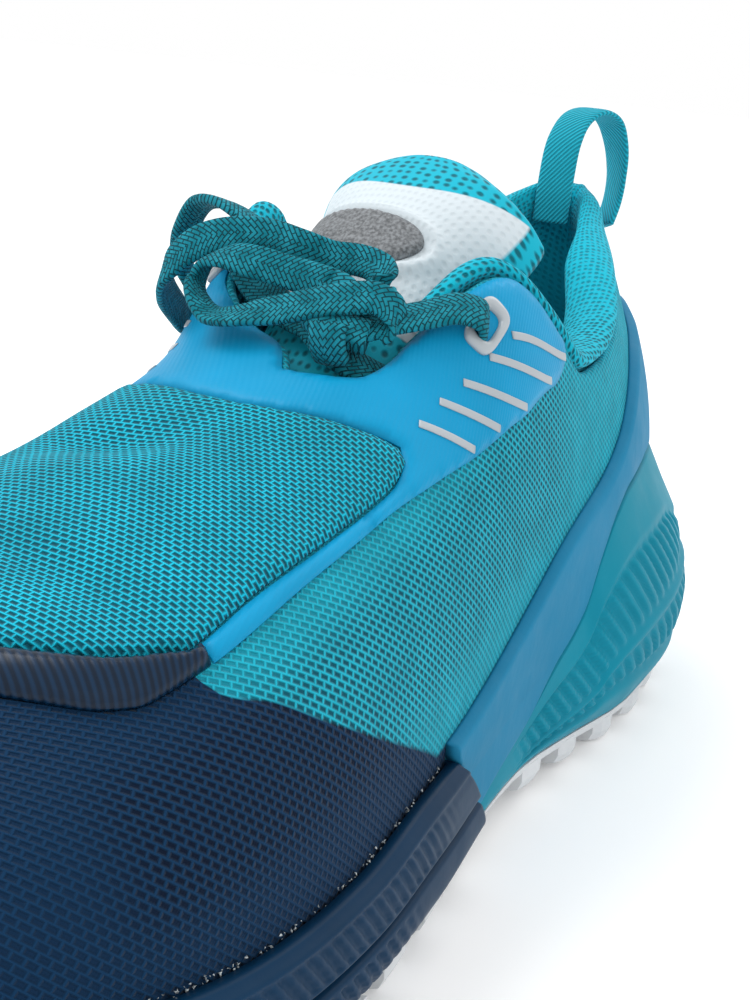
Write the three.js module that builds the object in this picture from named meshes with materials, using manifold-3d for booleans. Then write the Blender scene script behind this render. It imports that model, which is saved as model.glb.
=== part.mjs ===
// A left trail running shoe, standing on its sole.
// Millimetres. +X points to the toe, +Y to the outer (lateral) side, +Z up.
// The origin is under the middle of the sole, on the floor.

import * as THREE from 'three';
import Module from 'manifold-3d';

const wasm = await Module();
wasm.setup();

// Driving dimensions
const shoeLength = 282;
const ballWidth = 104;
const instepHeight = 104;
const wall = 2;
const gap = 0.35;
const facetRoom = 0.25;
const lugHeight = 4;
const plateThickness = 2;
const heelStack = 24;
const ballStack = 17.5;
const rimHeel = 51;
const rimBall = 23;
const bandThickness = 1.7;
const filmThickness = 0.9;
const windowThickness = 1.2;
const frontBandThickness = 3;
const collarPad = 7;
const lobePad = 3.4;
const collarRoll = 4.6;
const insoleThickness = 3;
const tonguePad = 5;
const tongueWidth = 48;
const badgeThickness = 1.2;
const loopWidth = 8;
const loopThickness = 1.6;
const loopHeight = 21;
const laceWidth = 6.4;
const laceThickness = 1.8;
const eyeletLength = 11;
const eyeletWidth = 8;
const eyeletThickness = 1.4;

const mixed = (a, b, s) => a + (b - a) * s;
const steps = (from, to, count) => Array.from({ length: count + 1 }, (_, i) => mixed(from, to, i / count));

const halfWidth = ballWidth / 2;
const stations = 14;
const turns = 2 * stations;

// A table keeps its columns by name
function table(names, rows) {
  return rows.map((row) => Object.fromEntries(names.map((name, i) => [name, row[i]])));
}

// A smooth curve without overshoot through one column of a table, against its column "at"
function curve(rows, column) {
  const x = rows.map((row) => row.at);
  const y = rows.map((row) => row[column]);
  const last = x.length - 1;
  const slope = x.slice(1).map((value, i) => (y[i + 1] - y[i]) / (value - x[i]));
  const tangent = x.map((_, i) => {
    if (i === 0) return slope[0];
    if (i === last) return slope[last - 1];
    const product = slope[i - 1] * slope[i];
    return product <= 0 ? 0 : (2 * product) / (slope[i - 1] + slope[i]);
  });
  return (at) => {
    const t = Math.min(Math.max(at, x[0]), x[last]);
    let i = 0;
    while (i < last - 1 && t > x[i + 1]) i += 1;
    const h = x[i + 1] - x[i];
    const s = (t - x[i]) / h;
    const rise = y[i] * (1 + 2 * s) + tangent[i] * h * s;
    const fall = y[i + 1] * (3 - 2 * s) + tangent[i + 1] * h * (s - 1);
    return rise * (1 - s) ** 2 + fall * s ** 2;
  };
}

// The last. A row for each station from the heel centre to the toe tip: the feather line on the
// outer and the inner side and the ridge above it, X as shares of the shoe's length, Y of half the
// ball width and Z of the instep height. Bulge and reach are the fullness at the foot of the wall
// and beside the ridge (of half the ball width), rise is where the wall turns in, and drop lowers
// the shoulder on each side (of the instep height).
const lastRows = table(
  [
    'latX', 'latY', 'medX', 'medY', 'ridgeX', 'ridgeY', 'ridgeZ',
    'bulge', 'rise', 'latReach', 'latDrop', 'medReach', 'medDrop',
  ],
  [
    [0.034, 0.000, 0.034, 0.000, 0.024, -0.070, 1.105, 0.170, 0.31, -0.077, 0.240, -0.077, 0.240],
    [0.041, 0.250, 0.041, 0.250, 0.043, -0.085, 1.135, 0.105, 0.30, 0.20, 0.250, 0.30, 0.250],
    [0.074, 0.440, 0.074, 0.430, 0.085, -0.090, 1.155, 0.075, 0.32, 0.30, 0.240, 0.43, 0.240],
    [0.138, 0.560, 0.138, 0.540, 0.149, -0.070, 1.165, 0.045, 0.33, 0.46, 0.220, 0.54, 0.220],
    [0.220, 0.635, 0.220, 0.590, 0.234, -0.020, 1.165, 0.040, 0.37, 0.55, 0.165, 0.58, 0.165],
    [0.312, 0.660, 0.312, 0.560, 0.320, 0.030, 1.125, 0.055, 0.47, 0.53, 0.050, 0.58, 0.040],
    [0.408, 0.690, 0.408, 0.565, 0.408, 0.080, 1.030, 0.100, 0.72, 0.42, 0.040, 0.76, -0.030],
    [0.504, 0.760, 0.504, 0.615, 0.500, 0.110, 0.817, 0.100, 0.78, 0.37, 0, 0.62, 0],
    [0.596, 0.835, 0.603, 0.730, 0.585, 0.060, 0.707, 0.090, 0.80, 0.40, 0, 0.58, 0],
    [0.681, 0.885, 0.695, 0.845, 0.663, 0.000, 0.635, 0.090, 0.81, 0.44, 0, 0.54, 0],
    [0.759, 0.875, 0.780, 0.885, 0.734, -0.060, 0.572, 0.090, 0.82, 0.46, 0, 0.48, 0],
    [0.830, 0.790, 0.857, 0.800, 0.790, -0.110, 0.520, 0.080, 0.82, 0.40, 0, 0.40, 0],
    [0.897, 0.600, 0.920, 0.620, 0.835, -0.150, 0.476, 0.060, 0.82, 0.33, 0, 0.33, 0],
    [0.949, 0.290, 0.962, 0.410, 0.862, -0.170, 0.447, 0.040, 0.80, 0.29, 0, 0.29, 0],
    [0.978, -0.155, 0.978, 0.155, 0.878, -0.170, 0.433, 0.030, 0.80, 0.33, 0, 0.33, 0],
  ],
);

// Heights of the sole along the shoe: the tread's underside, the bed that the foot stands on
const soleRows = table(
  ['at', 'under', 'bed'],
  [
    [0.00, 0.80, 1.00],
    [0.04, 0.30, 1.00],
    [0.10, 0.00, 1.00],
    [0.22, 0.00, 0.99],
    [0.41, 0.55, 0.70],
    [0.50, 0.50, 0.40],
    [0.60, 0.00, 0.14],
    [0.76, 0.00, 0.00],
    [0.83, 0.25, 0.10],
    [0.90, 1.05, 0.40],
    [0.96, 2.00, 0.85],
    [1.00, 2.90, 1.20],
  ],
);
const underCurve = curve(soleRows, 'under');
const bedCurve = curve(soleRows, 'bed');
const underside = (x) => lugHeight * underCurve(x / shoeLength);
const bed = (x) => ballStack + (heelStack - ballStack) * bedCurve(x / shoeLength);
const plateTop = (x) => underside(x) + lugHeight + plateThickness;

function sideRow(index) {
  const at = index <= stations ? index : turns - index;
  const row = lastRows[at];
  const side = index <= stations ? 1 : -1;
  const x = (side > 0 ? row.latX : row.medX) * shoeLength;
  const y = (side > 0 ? row.latY : -row.medY) * halfWidth;
  return { row, x, y, at };
}

// Four handles of each station's section, from the feather line to the ridge
function handles(index) {
  const { row, x, y, at } = sideRow(index);
  const before = sideRow((index + turns - 1) % turns);
  const after = sideRow((index + 1) % turns);
  const out = new THREE.Vector2(before.y - after.y, after.x - before.x).normalize();
  const foot = new THREE.Vector3(x, y, bed(x) + gap);
  const ridge = new THREE.Vector3(
    row.ridgeX * shoeLength,
    row.ridgeY * halfWidth,
    row.ridgeZ * instepHeight,
  );
  const bulge = row.bulge * halfWidth;
  const turn = foot.z + row.rise * (ridge.z - foot.z);
  const wallHandle = new THREE.Vector3(foot.x + out.x * bulge, foot.y + out.y * bulge, turn);
  const away = new THREE.Vector2(foot.x - ridge.x, foot.y - ridge.y).normalize();
  const outer = index <= stations;
  away.multiplyScalar((outer ? row.latReach : row.medReach) * halfWidth);
  const drop = (outer ? row.latDrop : row.medDrop) * instepHeight;
  const near = lastRows[Math.max(at - 1, 0)];
  const far = lastRows[Math.min(at + 1, stations)];
  const fall = ((far.ridgeZ - near.ridgeZ) * instepHeight) / ((far.ridgeX - near.ridgeX) * shoeLength);
  const lean = at > stations / 2 ? fall * away.x : 0;
  const shoulder = new THREE.Vector3(
    ridge.x + away.x,
    ridge.y + away.y,
    ridge.z + lean - drop,
  );
  return [foot, wallHandle, shoulder, ridge];
}
const sections = Array.from({ length: turns }, (_, index) => handles(index));

function blendHandle(u, k) {
  const index = Math.floor(u);
  const s = u - index;
  const [a, b, c, d] = [-1, 0, 1, 2].map((step) => sections[(index + step + turns) % turns][k]);
  const mix = (axis) => {
    const lead = 2 * b[axis] + (c[axis] - a[axis]) * s;
    const square = (2 * a[axis] - 5 * b[axis] + 4 * c[axis] - d[axis]) * s ** 2;
    const cube = (3 * b[axis] - a[axis] - 3 * c[axis] + d[axis]) * s ** 3;
    return 0.5 * (lead + square + cube);
  };
  return new THREE.Vector3(mix('x'), mix('y'), mix('z'));
}

// The outside of the upper: u runs round the feather line, w from there (0) to the ridge (1)
function skin(u, w) {
  const turn = ((u % turns) + turns) % turns;
  const v = 1 - w;
  const weights = [v ** 3, 3 * v * v * w, 3 * v * w * w, w ** 3];
  const point = new THREE.Vector3();
  weights.forEach((weight, k) => point.addScaledVector(blendHandle(turn, k), weight));
  return point;
}

function sideNormal(u, w) {
  const step = 0.01;
  const low = Math.max(w - step, 0);
  const high = Math.min(w + step, 1);
  const along = skin(u + step, w).sub(skin(u - step, w));
  const up = skin(u, high).sub(skin(u, low));
  return along.cross(up).normalize().negate();
}

function normal(u, w) {
  const own = sideNormal(u, w);
  if (w < 0.995) return own;
  return own.add(sideNormal(turns - u, w)).normalize();
}

const offSkin = (u, w, out) => skin(u, w).addScaledVector(normal(u, w), out);
const station = (u) => Math.min(((u % turns) + turns) % turns, turns - (((u % turns) + turns) % turns));

// Closed solid through rings of points. Faces that two halves share cancel out. An end ring is
// closed by faces from its first half to its second.
function solidThrough(rings, { loop = false, caps = true } = {}) {
  const points = [];
  const seen = new Map();
  const keep = (point) => {
    const key = [point.x, point.y, point.z].map((value) => Math.round(value * 1e4)).join();
    if (!seen.has(key)) {
      seen.set(key, points.length);
      points.push(point);
    }
    return seen.get(key);
  };
  const ids = rings.map((ring) => ring.map(keep));
  const quads = new Map();
  const size = ids[0].length;
  const spans = loop ? ids.length : ids.length - 1;
  for (let i = 0; i < spans; i += 1) {
    const here = ids[i];
    const next = ids[(i + 1) % ids.length];
    for (let k = 0; k < size; k += 1) {
      const m = (k + 1) % size;
      const quad = [here[k], next[k], next[m], here[m]];
      const corners = [...new Set(quad)];
      if (corners.length < 3) continue;
      const key = [...corners].sort((a, b) => a - b).join();
      if (quads.has(key)) quads.delete(key);
      else quads.set(key, corners);
    }
  }
  const faces = [];
  quads.forEach((corners) => {
    faces.push([corners[0], corners[1], corners[2]]);
    if (corners.length === 4) faces.push([corners[0], corners[2], corners[3]]);
  });
  if (!loop && caps) {
    [[ids[0], false], [ids[ids.length - 1], true]].forEach(([ring, flip]) => {
      if (new Set(ring).size !== ring.length) return;
      for (let k = 0; k < size / 2 - 1; k += 1) {
        const [p, q, r, t] = [ring[k], ring[k + 1], ring[size - 2 - k], ring[size - 1 - k]];
        if (flip) faces.push([p, r, q], [p, t, r]);
        else faces.push([p, q, r], [p, r, t]);
      }
    });
  }
  return outwards(points, faces);
}

function outwards(points, faces) {
  let volume = 0;
  faces.forEach(([a, b, c]) => {
    volume += points[a].dot(points[b].clone().cross(points[c]));
  });
  const geometry = new THREE.BufferGeometry();
  const flat = points.flatMap((point) => [point.x, point.y, point.z]);
  geometry.setAttribute('position', new THREE.Float32BufferAttribute(flat, 3));
  geometry.setIndex(faces.flatMap(([a, b, c]) => (volume > 0 ? [a, b, c] : [a, c, b])));
  return geometry;
}

// Merges the corners of a three.js geometry, so that it is one closed body
function welded(source) {
  const position = source.getAttribute('position');
  const index = source.index ? source.index.array : [...Array(position.count).keys()];
  const points = [];
  const seen = new Map();
  const ids = Array.from({ length: position.count }, (_, i) => {
    const point = new THREE.Vector3().fromBufferAttribute(position, i);
    const key = [point.x, point.y, point.z].map((value) => Math.round(value * 1e4)).join();
    if (!seen.has(key)) {
      seen.set(key, points.length);
      points.push(point);
    }
    return seen.get(key);
  });
  const faces = [];
  for (let i = 0; i < index.length; i += 3) {
    const face = [ids[index[i]], ids[index[i + 1]], ids[index[i + 2]]];
    if (new Set(face).size === 3) faces.push(face);
  }
  return outwards(points, faces);
}

function manifold(geometry) {
  return new wasm.Manifold(new wasm.Mesh({
    numProp: 3,
    vertProperties: new Float32Array(geometry.getAttribute('position').array),
    triVerts: new Uint32Array(geometry.index.array),
  }));
}

// Corners that a cut leaves almost on top of each other become one
const nearlyOne = 0.03;
function fromManifold(solid) {
  const mesh = solid.getMesh();
  const points = [];
  for (let i = 0; i < mesh.vertProperties.length; i += 3) {
    points.push(new THREE.Vector3(...mesh.vertProperties.slice(i, i + 3)));
  }
  const stand = points.map((_, i) => i);
  const root = (i) => (stand[i] === i ? i : root(stand[i]));
  const triangles = [];
  for (let i = 0; i < mesh.triVerts.length; i += 3) {
    triangles.push([...mesh.triVerts.slice(i, i + 3)]);
  }
  triangles.forEach((face) => face.forEach((a, k) => {
    const b = face[(k + 1) % 3];
    if (points[a].distanceTo(points[b]) < nearlyOne) stand[root(a)] = root(b);
  }));
  const faces = new Map();
  triangles.map((face) => face.map(root)).forEach((face) => {
    if (new Set(face).size < 3) return;
    const key = [...face].sort((a, b) => a - b).join();
    if (faces.has(key)) faces.delete(key);
    else faces.set(key, face);
  });
  const kept = [...faces.values()];
  const used = [...new Set(kept.flat())];
  const renumbered = new Map(used.map((id, i) => [id, i]));
  return outwards(used.map((id) => points[id]), kept.map((face) => face.map((id) => renumbered.get(id))));
}

const cut = (geometry, tool) => fromManifold(manifold(geometry).subtract(manifold(tool)));
const common = (geometry, tool) => fromManifold(manifold(geometry).intersect(manifold(tool)));
const joined = (list) => fromManifold(list.map(manifold).reduce((sum, next) => sum.add(next)));

// A prism across the whole shoe, from an outline in the side view (X, Z)
function sidePrism(outline, from = -ballWidth, to = ballWidth) {
  const shape = new THREE.Shape(outline.map(([x, z]) => new THREE.Vector2(x, z)));
  const prism = new THREE.ExtrudeGeometry(shape, { depth: to - from, bevelEnabled: false });
  prism.rotateX(Math.PI / 2);
  prism.translate(0, to, 0);
  return welded(prism);
}


// A sheet on the last between two offsets, as rings across it at each column u
function sheet(columns, low, high, rows, inner, outer) {
  return columns.map((u) => {
    const ws = steps(low(u), high(u), rows);
    const outside = ws.map((w) => offSkin(u, w, outer(u, w)));
    const inside = ws.map((w) => offSkin(u, w, inner(u, w)));
    return [...outside, ...inside.reverse()];
  });
}

// Top edge of the upper: the collar round the ankle, the lace lobes and the throat.
// Pad is the lower end of the padding inside it. Shares of the way from the feather line to the ridge.
const outerEdge = table(
  ['at', 'top', 'pad'],
  [
    [0.0, 0.840, 0.46],
    [1.0, 0.790, 0.44],
    [2.0, 0.710, 0.40],
    [3.0, 0.630, 0.33],
    [4.0, 0.510, 0.26],
    [4.6, 0.450, 0.24],
    [5.0, 0.430, 0.24],
    [5.5, 0.500, 0.36],
    [6.0, 0.650, 0.55],
    [6.5, 0.730, 0.64],
    [6.85, 0.780, 0.70],
    [7.0, 0.790, 0.71],
    [7.2, 0.820, 0.74],
    [7.3, 0.880, 0.80],
    [7.38, 1.000, 0.90],
  ],
);
const innerEdge = table(
  ['at', 'top', 'pad'],
  [
    [0.0, 0.840, 0.46],
    [1.0, 0.820, 0.44],
    [2.0, 0.760, 0.40],
    [3.0, 0.670, 0.33],
    [4.0, 0.530, 0.26],
    [4.6, 0.455, 0.24],
    [5.0, 0.430, 0.24],
    [5.5, 0.480, 0.34],
    [6.0, 0.620, 0.52],
    [6.5, 0.660, 0.57],
    [6.75, 0.740, 0.65],
    [7.0, 0.860, 0.76],
    [7.15, 0.950, 0.85],
    [7.38, 1.000, 0.90],
  ],
);
const throatFront = 7.38;
const isOuter = (u) => u <= stations;
const behindThroat = (u) => station(u) < throatFront - 1e-6;
const edges = [outerEdge, innerEdge].map((rows) => ({ top: curve(rows, 'top'), pad: curve(rows, 'pad') }));
const edgeAt = (u, name) => edges[isOuter(u) ? 0 : 1][name](station(u));
const topEdge = (u) => (behindThroat(u) ? edgeAt(u, 'top') : 1);
const around = [
  0, 0.5, 1, 1.5, 2, 2.7, 3.4, 4, 4.35, 4.65, 5, 5.3, 5.65, 6, 6.3, 6.6, 6.85, 7.1, 7.25, throatFront,
  7.55, 7.8, ...steps(8.2, 13, 7), 13.45, 13.8, stations,
];
const loopColumns = [...around, ...around.slice(1, -1).map((u) => turns - u).reverse()];

function makeUpper() {
  const rings = sheet(loopColumns, () => 0, topEdge, 7, () => -wall, () => 0);
  return solidThrough(rings, { loop: true });
}

// The side of the shoe by height: follows the upper above the bed and flares over the sole below
function outlineNormal(u) {
  const step = 0.02;
  const along = skin(u + step, 0).sub(skin(u - step, 0));
  return new THREE.Vector3(-along.y, along.x, 0).normalize();
}

function skinAt(u, z) {
  const foot = skin(u, 0);
  if (z <= foot.z) return foot.setZ(z);
  let low = 0;
  let high = 0.9;
  for (let i = 0; i < 24; i += 1) {
    const middle = (low + high) / 2;
    if (skin(u, middle).z < z) low = middle;
    else high = middle;
  }
  return skin(u, low).setZ(z);
}

const flank = (u, z, out) => skinAt(u, z).addScaledVector(outlineNormal(u), out);

// Sole sides. Rim heights by station: the heel cup's line, then the forefoot's lip.
const rimRows = table(
  ['at', 'heel', 'fore'],
  [
    [0.0, 0.980, 1.35],
    [2.0, 1.020, 1.30],
    [3.0, 1.040, 1.25],
    [4.0, 0.990, 1.20],
    [4.35, 0.910, 1.20],
    [4.65, 0.745, 1.20],
    [4.85, 0.570, 1.18],
    [5.35, 0.430, 1.17],
    [5.93, 0.300, 1.16],
    [6.67, 0.235, 1.15],
    [7.15, 0.200, 1.14],
    [8.0, 0.190, 1.12],
    [9.0, 0.190, 1.02],
    [10.0, 0.190, 0.99],
    [11.0, 0.200, 1.04],
    [12.0, 0.240, 1.14],
    [13.0, 0.300, 1.27],
    [14.0, 0.350, 1.35],
  ],
);
const heelRim = curve(rimRows, 'heel');
const foreRim = curve(rimRows, 'fore');

// Profiles of the sole's side: height from the plate (0) to the rim (1), and how far it stands
// proud of the rim's skirt
const skirt = bandThickness + gap + facetRoom;
const heelProfile = table(
  ['up', 'out'],
  [[0.00, 7.0], [0.12, 10.0], [0.34, 11.6], [0.60, 8.2], [0.86, 2.6], [1.00, 0.0]],
);
const foreProfile = table(
  ['up', 'out'],
  [
    [0.00, 0.6], [0.10, 2.4], [0.28, 3.8], [0.46, 3.2], [0.52, 2.3],
    [0.58, 3.2], [0.80, 2.4], [0.94, 1.0], [1.00, 0.0],
  ],
);
const flareRows = table(
  ['at', 'heel'],
  [
    [0.0, 0.55],
    [1.0, 0.78],
    [2.0, 1.00],
    [3.0, 1.00],
    [4.0, 0.80],
    [5.0, 0.42],
    [6.0, 0.12],
    [7.0, 0.05],
    [14.0, 0.05],
  ],
);
const heelFlare = curve(flareRows, 'heel');

function soleRing(u, rim, profile, flare) {
  const foot = skin(u, 0);
  const low = plateTop(foot.x) + gap;
  const top = Math.max(rim(station(u)), low + 1);
  const proud = flare(station(u));
  const outside = profile.map((row) => flank(u, mixed(low, top, row.up), skirt + row.out * proud));
  const bedHeight = bed(foot.x);
  const inside = steps(top, bedHeight, 3).map((z) => flank(u, z, gap + facetRoom));
  return [...outside, ...inside];
}

// Both halves of each station make one ring through the sole, joined across its bed and underside
function soleBody(rim, profile, flare) {
  const rings = around.map((t) => {
    const outer = soleRing(t, rim, profile, flare);
    const inner = soleRing((turns - t) % turns, rim, profile, flare);
    return [...outer, ...inner.reverse()];
  });
  return solidThrough(rings);
}

// The line where heel and forefoot midsole part, in the side view, as shares of the length and
// of the ball rim
const splitLine = [[0.565, 1.6], [0.553, 1.18], [0.524, 0.75], [0.506, 0.25], [0.495, -0.2]];
function endPrism(front) {
  const clearance = front ? gap / 2 : -gap / 2;
  const line = splitLine.map(([x, z]) => [x * shoeLength + clearance, z * rimBall]);
  const end = front ? shoeLength + rimHeel : -rimHeel;
  const high = 2 * rimHeel;
  const low = -rimHeel;
  const last = line[line.length - 1];
  return sidePrism([[line[0][0], high], ...line, [last[0], low], [end, low], [end, high]]);
}

const heelLine = (t) => heelRim(t) * rimHeel;
const foreLine = (t) => foreRim(t) * rimBall;

function makeHeelMidsole() {
  const body = common(soleBody(heelLine, heelProfile, heelFlare), endPrism(false));
  return ribbed(body, leaf, (u, up) => sideAt(u, up, heelLine, heelProfile, heelFlare));
}

function makeForeMidsole() {
  const even = () => 1;
  const body = common(soleBody(foreLine, foreProfile, even), endPrism(true));
  return ribbed(body, foreRibs, (u, up) => sideAt(u, up, foreLine, foreProfile, even));
}

// A flat layer under or on the whole sole, from two outlines a height apart
function layer(base, thickness, low, high) {
  const half = (u) => {
    const z = base(skin(u, 0).x);
    return [flank(u, z, low).setZ(z), flank(u, z, high).setZ(z + thickness)];
  };
  return solidThrough(around.map((t) => [...half(t), ...half((turns - t) % turns).reverse()]));
}

// Slanted grooves in the sole's side: a leaf of them under the heel band, and ribs along the
// forefoot. Stations at both ends of the row, and the share of the side's height that they take.
const ribDepth = 1.1;
const leaf = { from: 5.3, to: 2.2, count: 5, foot: 0.16, top: 0.74, lean: 0.2, width: 3 };
const foreRibs = { from: 8.5, to: 12.4, count: 6, foot: 0.59, top: 0.86, lean: 0.08, width: 2.6 };

function sideAt(u, up, rim, profile, flare) {
  const low = plateTop(skin(u, 0).x) + gap;
  const next = profile.findIndex((row) => row.up >= up);
  const [a, b] = [profile[next - 1], profile[next]];
  const proud = mixed(a.out, b.out, (up - a.up) / (b.up - a.up)) * flare(station(u));
  return flank(u, mixed(low, rim(station(u)), up), skirt + proud);
}

function groove(side, t, set, at) {
  const around = (value) => (side > 0 ? value : turns - value);
  const middle = (set.top + set.foot) / 2;
  const top = at(around(t + set.lean), set.top);
  const foot = at(around(t - set.lean), set.foot);
  const along = at(around(t + 0.1), middle).sub(at(around(t - 0.1), middle));
  const run = top.clone().sub(foot).normalize();
  const out = along.cross(run).normalize().multiplyScalar(side);
  const across = out.clone().cross(run).multiplyScalar(set.width / 2);
  const corner = (end, k, d) => end.clone().addScaledVector(across, k).addScaledVector(out, d);
  const ring = (end) => [[-1, -1], [1, -1], [1, 3], [-1, 3]].map(([k, d]) => corner(end, k, d * ribDepth));
  return solidThrough([ring(foot), ring(top)]);
}

function ribbed(body, set, at) {
  const tools = steps(set.from, set.to, set.count - 1).flatMap((t) => [1, -1].map((side) => groove(side, t, set, at)));
  return cut(body, joined(tools));
}

const treadInset = 0.6;
function heelOrBallFlare(u) {
  const x = skin(u, 0).x;
  const split = splitLine[3][0] * shoeLength;
  const heel = heelProfile[0].out * heelFlare(station(u));
  return x < split ? heel : Math.min(foreProfile[0].out, heel + (x - split) * 0.1);
}

function makePlate() {
  const half = (u) => {
    const z = underside(skin(u, 0).x) + lugHeight;
    const out = skirt + heelOrBallFlare(u);
    return [flank(u, z, out - treadInset).setZ(z), flank(u, z, out).setZ(z + plateThickness)];
  };
  return solidThrough(around.map((t) => [...half(t), ...half((turns - t) % turns).reverse()]));
}

// Chevron lugs, pointing forward under the forefoot and back under the heel
const lugRows = 10;
const lugSpan = [0.05, 0.955];
const lugWidth = 11;
const lugLength = 9;
const lugPitchY = 17.5;
const lugArm = 3.2;
const lugBury = 0.8;
const lugMargin = 3.5;

function soleReach(x, side) {
  let low = 0;
  let high = stations;
  for (let i = 0; i < 20; i += 1) {
    const middle = (low + high) / 2;
    if (skin(side > 0 ? middle : turns - middle, 0).x < x) low = middle;
    else high = middle;
  }
  return Math.abs(skin(side > 0 ? low : turns - low, 0).y);
}

function chevron(x, y, direction) {
  const half = lugWidth / 2;
  const long = lugLength / 2;
  const base = Math.min(underside(x - long - lugArm), underside(x + long + lugArm));
  const height = Math.min(lugHeight + plateThickness - gap, underside(x) - base + lugHeight + lugBury);
  const outline = [
    [-long, -half], [-long + direction * lugArm, 0], [-long, half],
    [long, half], [long + direction * lugArm, 0], [long, -half],
  ];
  const shape = new THREE.Shape(outline.map(([px, py]) => new THREE.Vector2(x + px, y + py)));
  const lug = new THREE.ExtrudeGeometry(shape, { depth: height, bevelEnabled: false });
  lug.translate(0, 0, base);
  return welded(lug);
}

function makeOutsole() {
  const lugs = [];
  steps(lugSpan[0] * shoeLength, lugSpan[1] * shoeLength, lugRows).forEach((x, row) => {
    const direction = x < shoeLength / 2 ? -1 : 1;
    const shift = row % 2 ? lugPitchY / 2 : 0;
    const reach = [soleReach(x, -1), soleReach(x, 1)];
    steps(-4, 4, 8).forEach((column) => {
      const y = column * lugPitchY + shift;
      const room = y > 0 ? reach[1] : reach[0];
      if (Math.abs(y) + lugWidth / 2 < room + lugMargin) lugs.push(chevron(x, y, direction));
    });
  });
  return joined([makePlate(), ...lugs]);
}

function makeInsole() {
  const inset = -(wall + 2 * gap);
  return layer((x) => bed(x) + gap, insoleThickness, inset, inset);
}

// Film cover over the vamp and the lace lobes, with the mesh window let into it
const filmRows = table(
  ['at', 'low'],
  [
    [5.42, 0.452],
    [5.50, 0.438],
    [5.70, 0.425],
    [6.20, 0.445],
    [6.70, 0.490],
    [7.30, 0.520],
    [8.00, 0.535],
    [8.80, 0.535],
    [9.70, 0.528],
    [10.20, 0.530],
    [10.50, 0.565],
    [10.75, 0.640],
    [10.87, 0.710],
    [10.95, 0.850],
    [10.98, 1.000],
  ],
);
const windowRows = table(
  ['at', 'low', 'rear'],
  [
    [7.40, 0.595, 0.610],
    [7.50, 0.575, 0.720],
    [7.63, 0.562, 0.900],
    [7.68, 0.560, 1.000],
    [8.37, 0.575, 1.000],
    [9.17, 0.585, 1.000],
    [9.75, 0.576, 1.000],
    [9.90, 0.598, 1.000],
    [10.23, 0.655, 1.000],
    [10.50, 0.730, 1.000],
    [10.64, 0.800, 1.000],
    [10.72, 0.900, 1.000],
    [10.75, 1.000, 1.000],
  ],
);
const filmLow = curve(filmRows, 'low');
const windowLow = curve(windowRows, 'low');
const windowRear = curve(windowRows, 'rear');
const edgeMargin = 0.012;
const seam = 0.006;

function bothSides(list) {
  return [...list, ...list.map((t) => turns - t).reverse()];
}

function onVamp(columns, low, high, rows, inner, outer) {
  return solidThrough(sheet(bothSides(columns), low, high, rows, inner, outer));
}

const filmColumns = [
  5.42, 5.55, 5.75, 6.0, 6.3, 6.6, 6.85, 7.1, 7.25, throatFront, 7.57, 7.84, 8.2, 8.6, 9.0, 9.4, 9.85,
  10.2, 10.5, 10.8, 10.98,
];
const windowColumns = [
  7.4, 7.5, 7.63, 7.65, 7.68, 8.0, 8.4, 8.8, 9.2, 9.6, 9.75, 9.9, 10.23, 10.5, 10.64, 10.72, 10.75,
];

// A panel of the vamp between two edges, in its own size or, for a cut, wider all round by a margin
function panel(columns, low, high, rows, margin, inner, outer) {
  const spread = margin * endSpread;
  const first = columns[0] - spread;
  const last = columns[columns.length - 1] + spread;
  return onVamp(
    [first, ...columns.slice(1, -1), last],
    (u) => Math.min(Math.min(low(station(u) - spread), low(station(u) + spread)) - margin, 1),
    (u) => Math.min(Math.max(high(station(u) - spread), high(station(u) + spread)) + margin, 1),
    rows,
    inner,
    outer,
  );
}
const endSpread = 5;

function windowSolid(margin, inner, outer) {
  return panel(windowColumns, windowLow, windowRear, 4, margin, inner, outer);
}

// The toe band's upper edge follows the window's lower edge a seam away, and runs further at the front
const bandLag = 0.03;
const frontColumns = [9.72, 9.93, 10.26, 10.5, 10.67, 10.75, 10.78, 10.87, 10.95, 10.98];
const frontLow = (t) => (t >= 10.98 ? 1 : filmLow(t));
const frontHigh = (t) => {
  const edge = windowLow(t - bandLag);
  return edge >= 1 ? 1 : Math.max(edge - 2 * seam, frontLow(t) + seam);
};
function frontSolid(margin, high, inner, outer) {
  return panel(frontColumns, frontLow, high, 3, margin, inner, outer);
}

const narrowest = 0.03;
function filmTop(u) {
  return behindThroat(u) ? topEdge(u) - edgeMargin : 1;
}

function makeFilm() {
  const film = onVamp(
    filmColumns,
    (u) => Math.min(filmLow(station(u)), filmTop(u) - narrowest),
    filmTop,
    6,
    () => gap + facetRoom,
    () => gap + facetRoom + filmThickness,
  );
  const deep = () => -wall;
  const high = () => 3 * frontBandThickness;
  return cut(cut(film, windowSolid(seam, deep, high)), frontSolid(3 * seam, windowLow, deep, high));
}

function makeWindow() {
  const inner = gap + facetRoom;
  return windowSolid(0, () => inner, () => inner + windowThickness);
}

function makeFrontBand() {
  const inner = gap + facetRoom;
  return frontSolid(0, frontHigh, () => inner, (u, w) => {
    const low = frontLow(station(u));
    const span = Math.max(frontHigh(station(u)) - low, seam);
    const up = Math.min(Math.max((w - low) / span, 0), 1);
    return inner + mixed(frontBandThickness, windowThickness, up);
  });
}

// Moulded band round the heel and down to the waist of the sole, in its own channel
const bandRows = table(
  ['at', 'top'],
  [
    [0.0, 1.66],
    [1.0, 1.64],
    [2.0, 1.58],
    [3.0, 1.48],
    [3.43, 1.39],
    [4.07, 1.21],
    [4.6, 1.08],
    [5.37, 0.94],
    [6.17, 0.745],
    [6.9, 0.63],
    [7.3, 0.59],
    [8.0, 0.56],
  ],
);
const bandTop = curve(bandRows, 'top');
const bandColumns = around.filter((t) => t <= 8);

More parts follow.
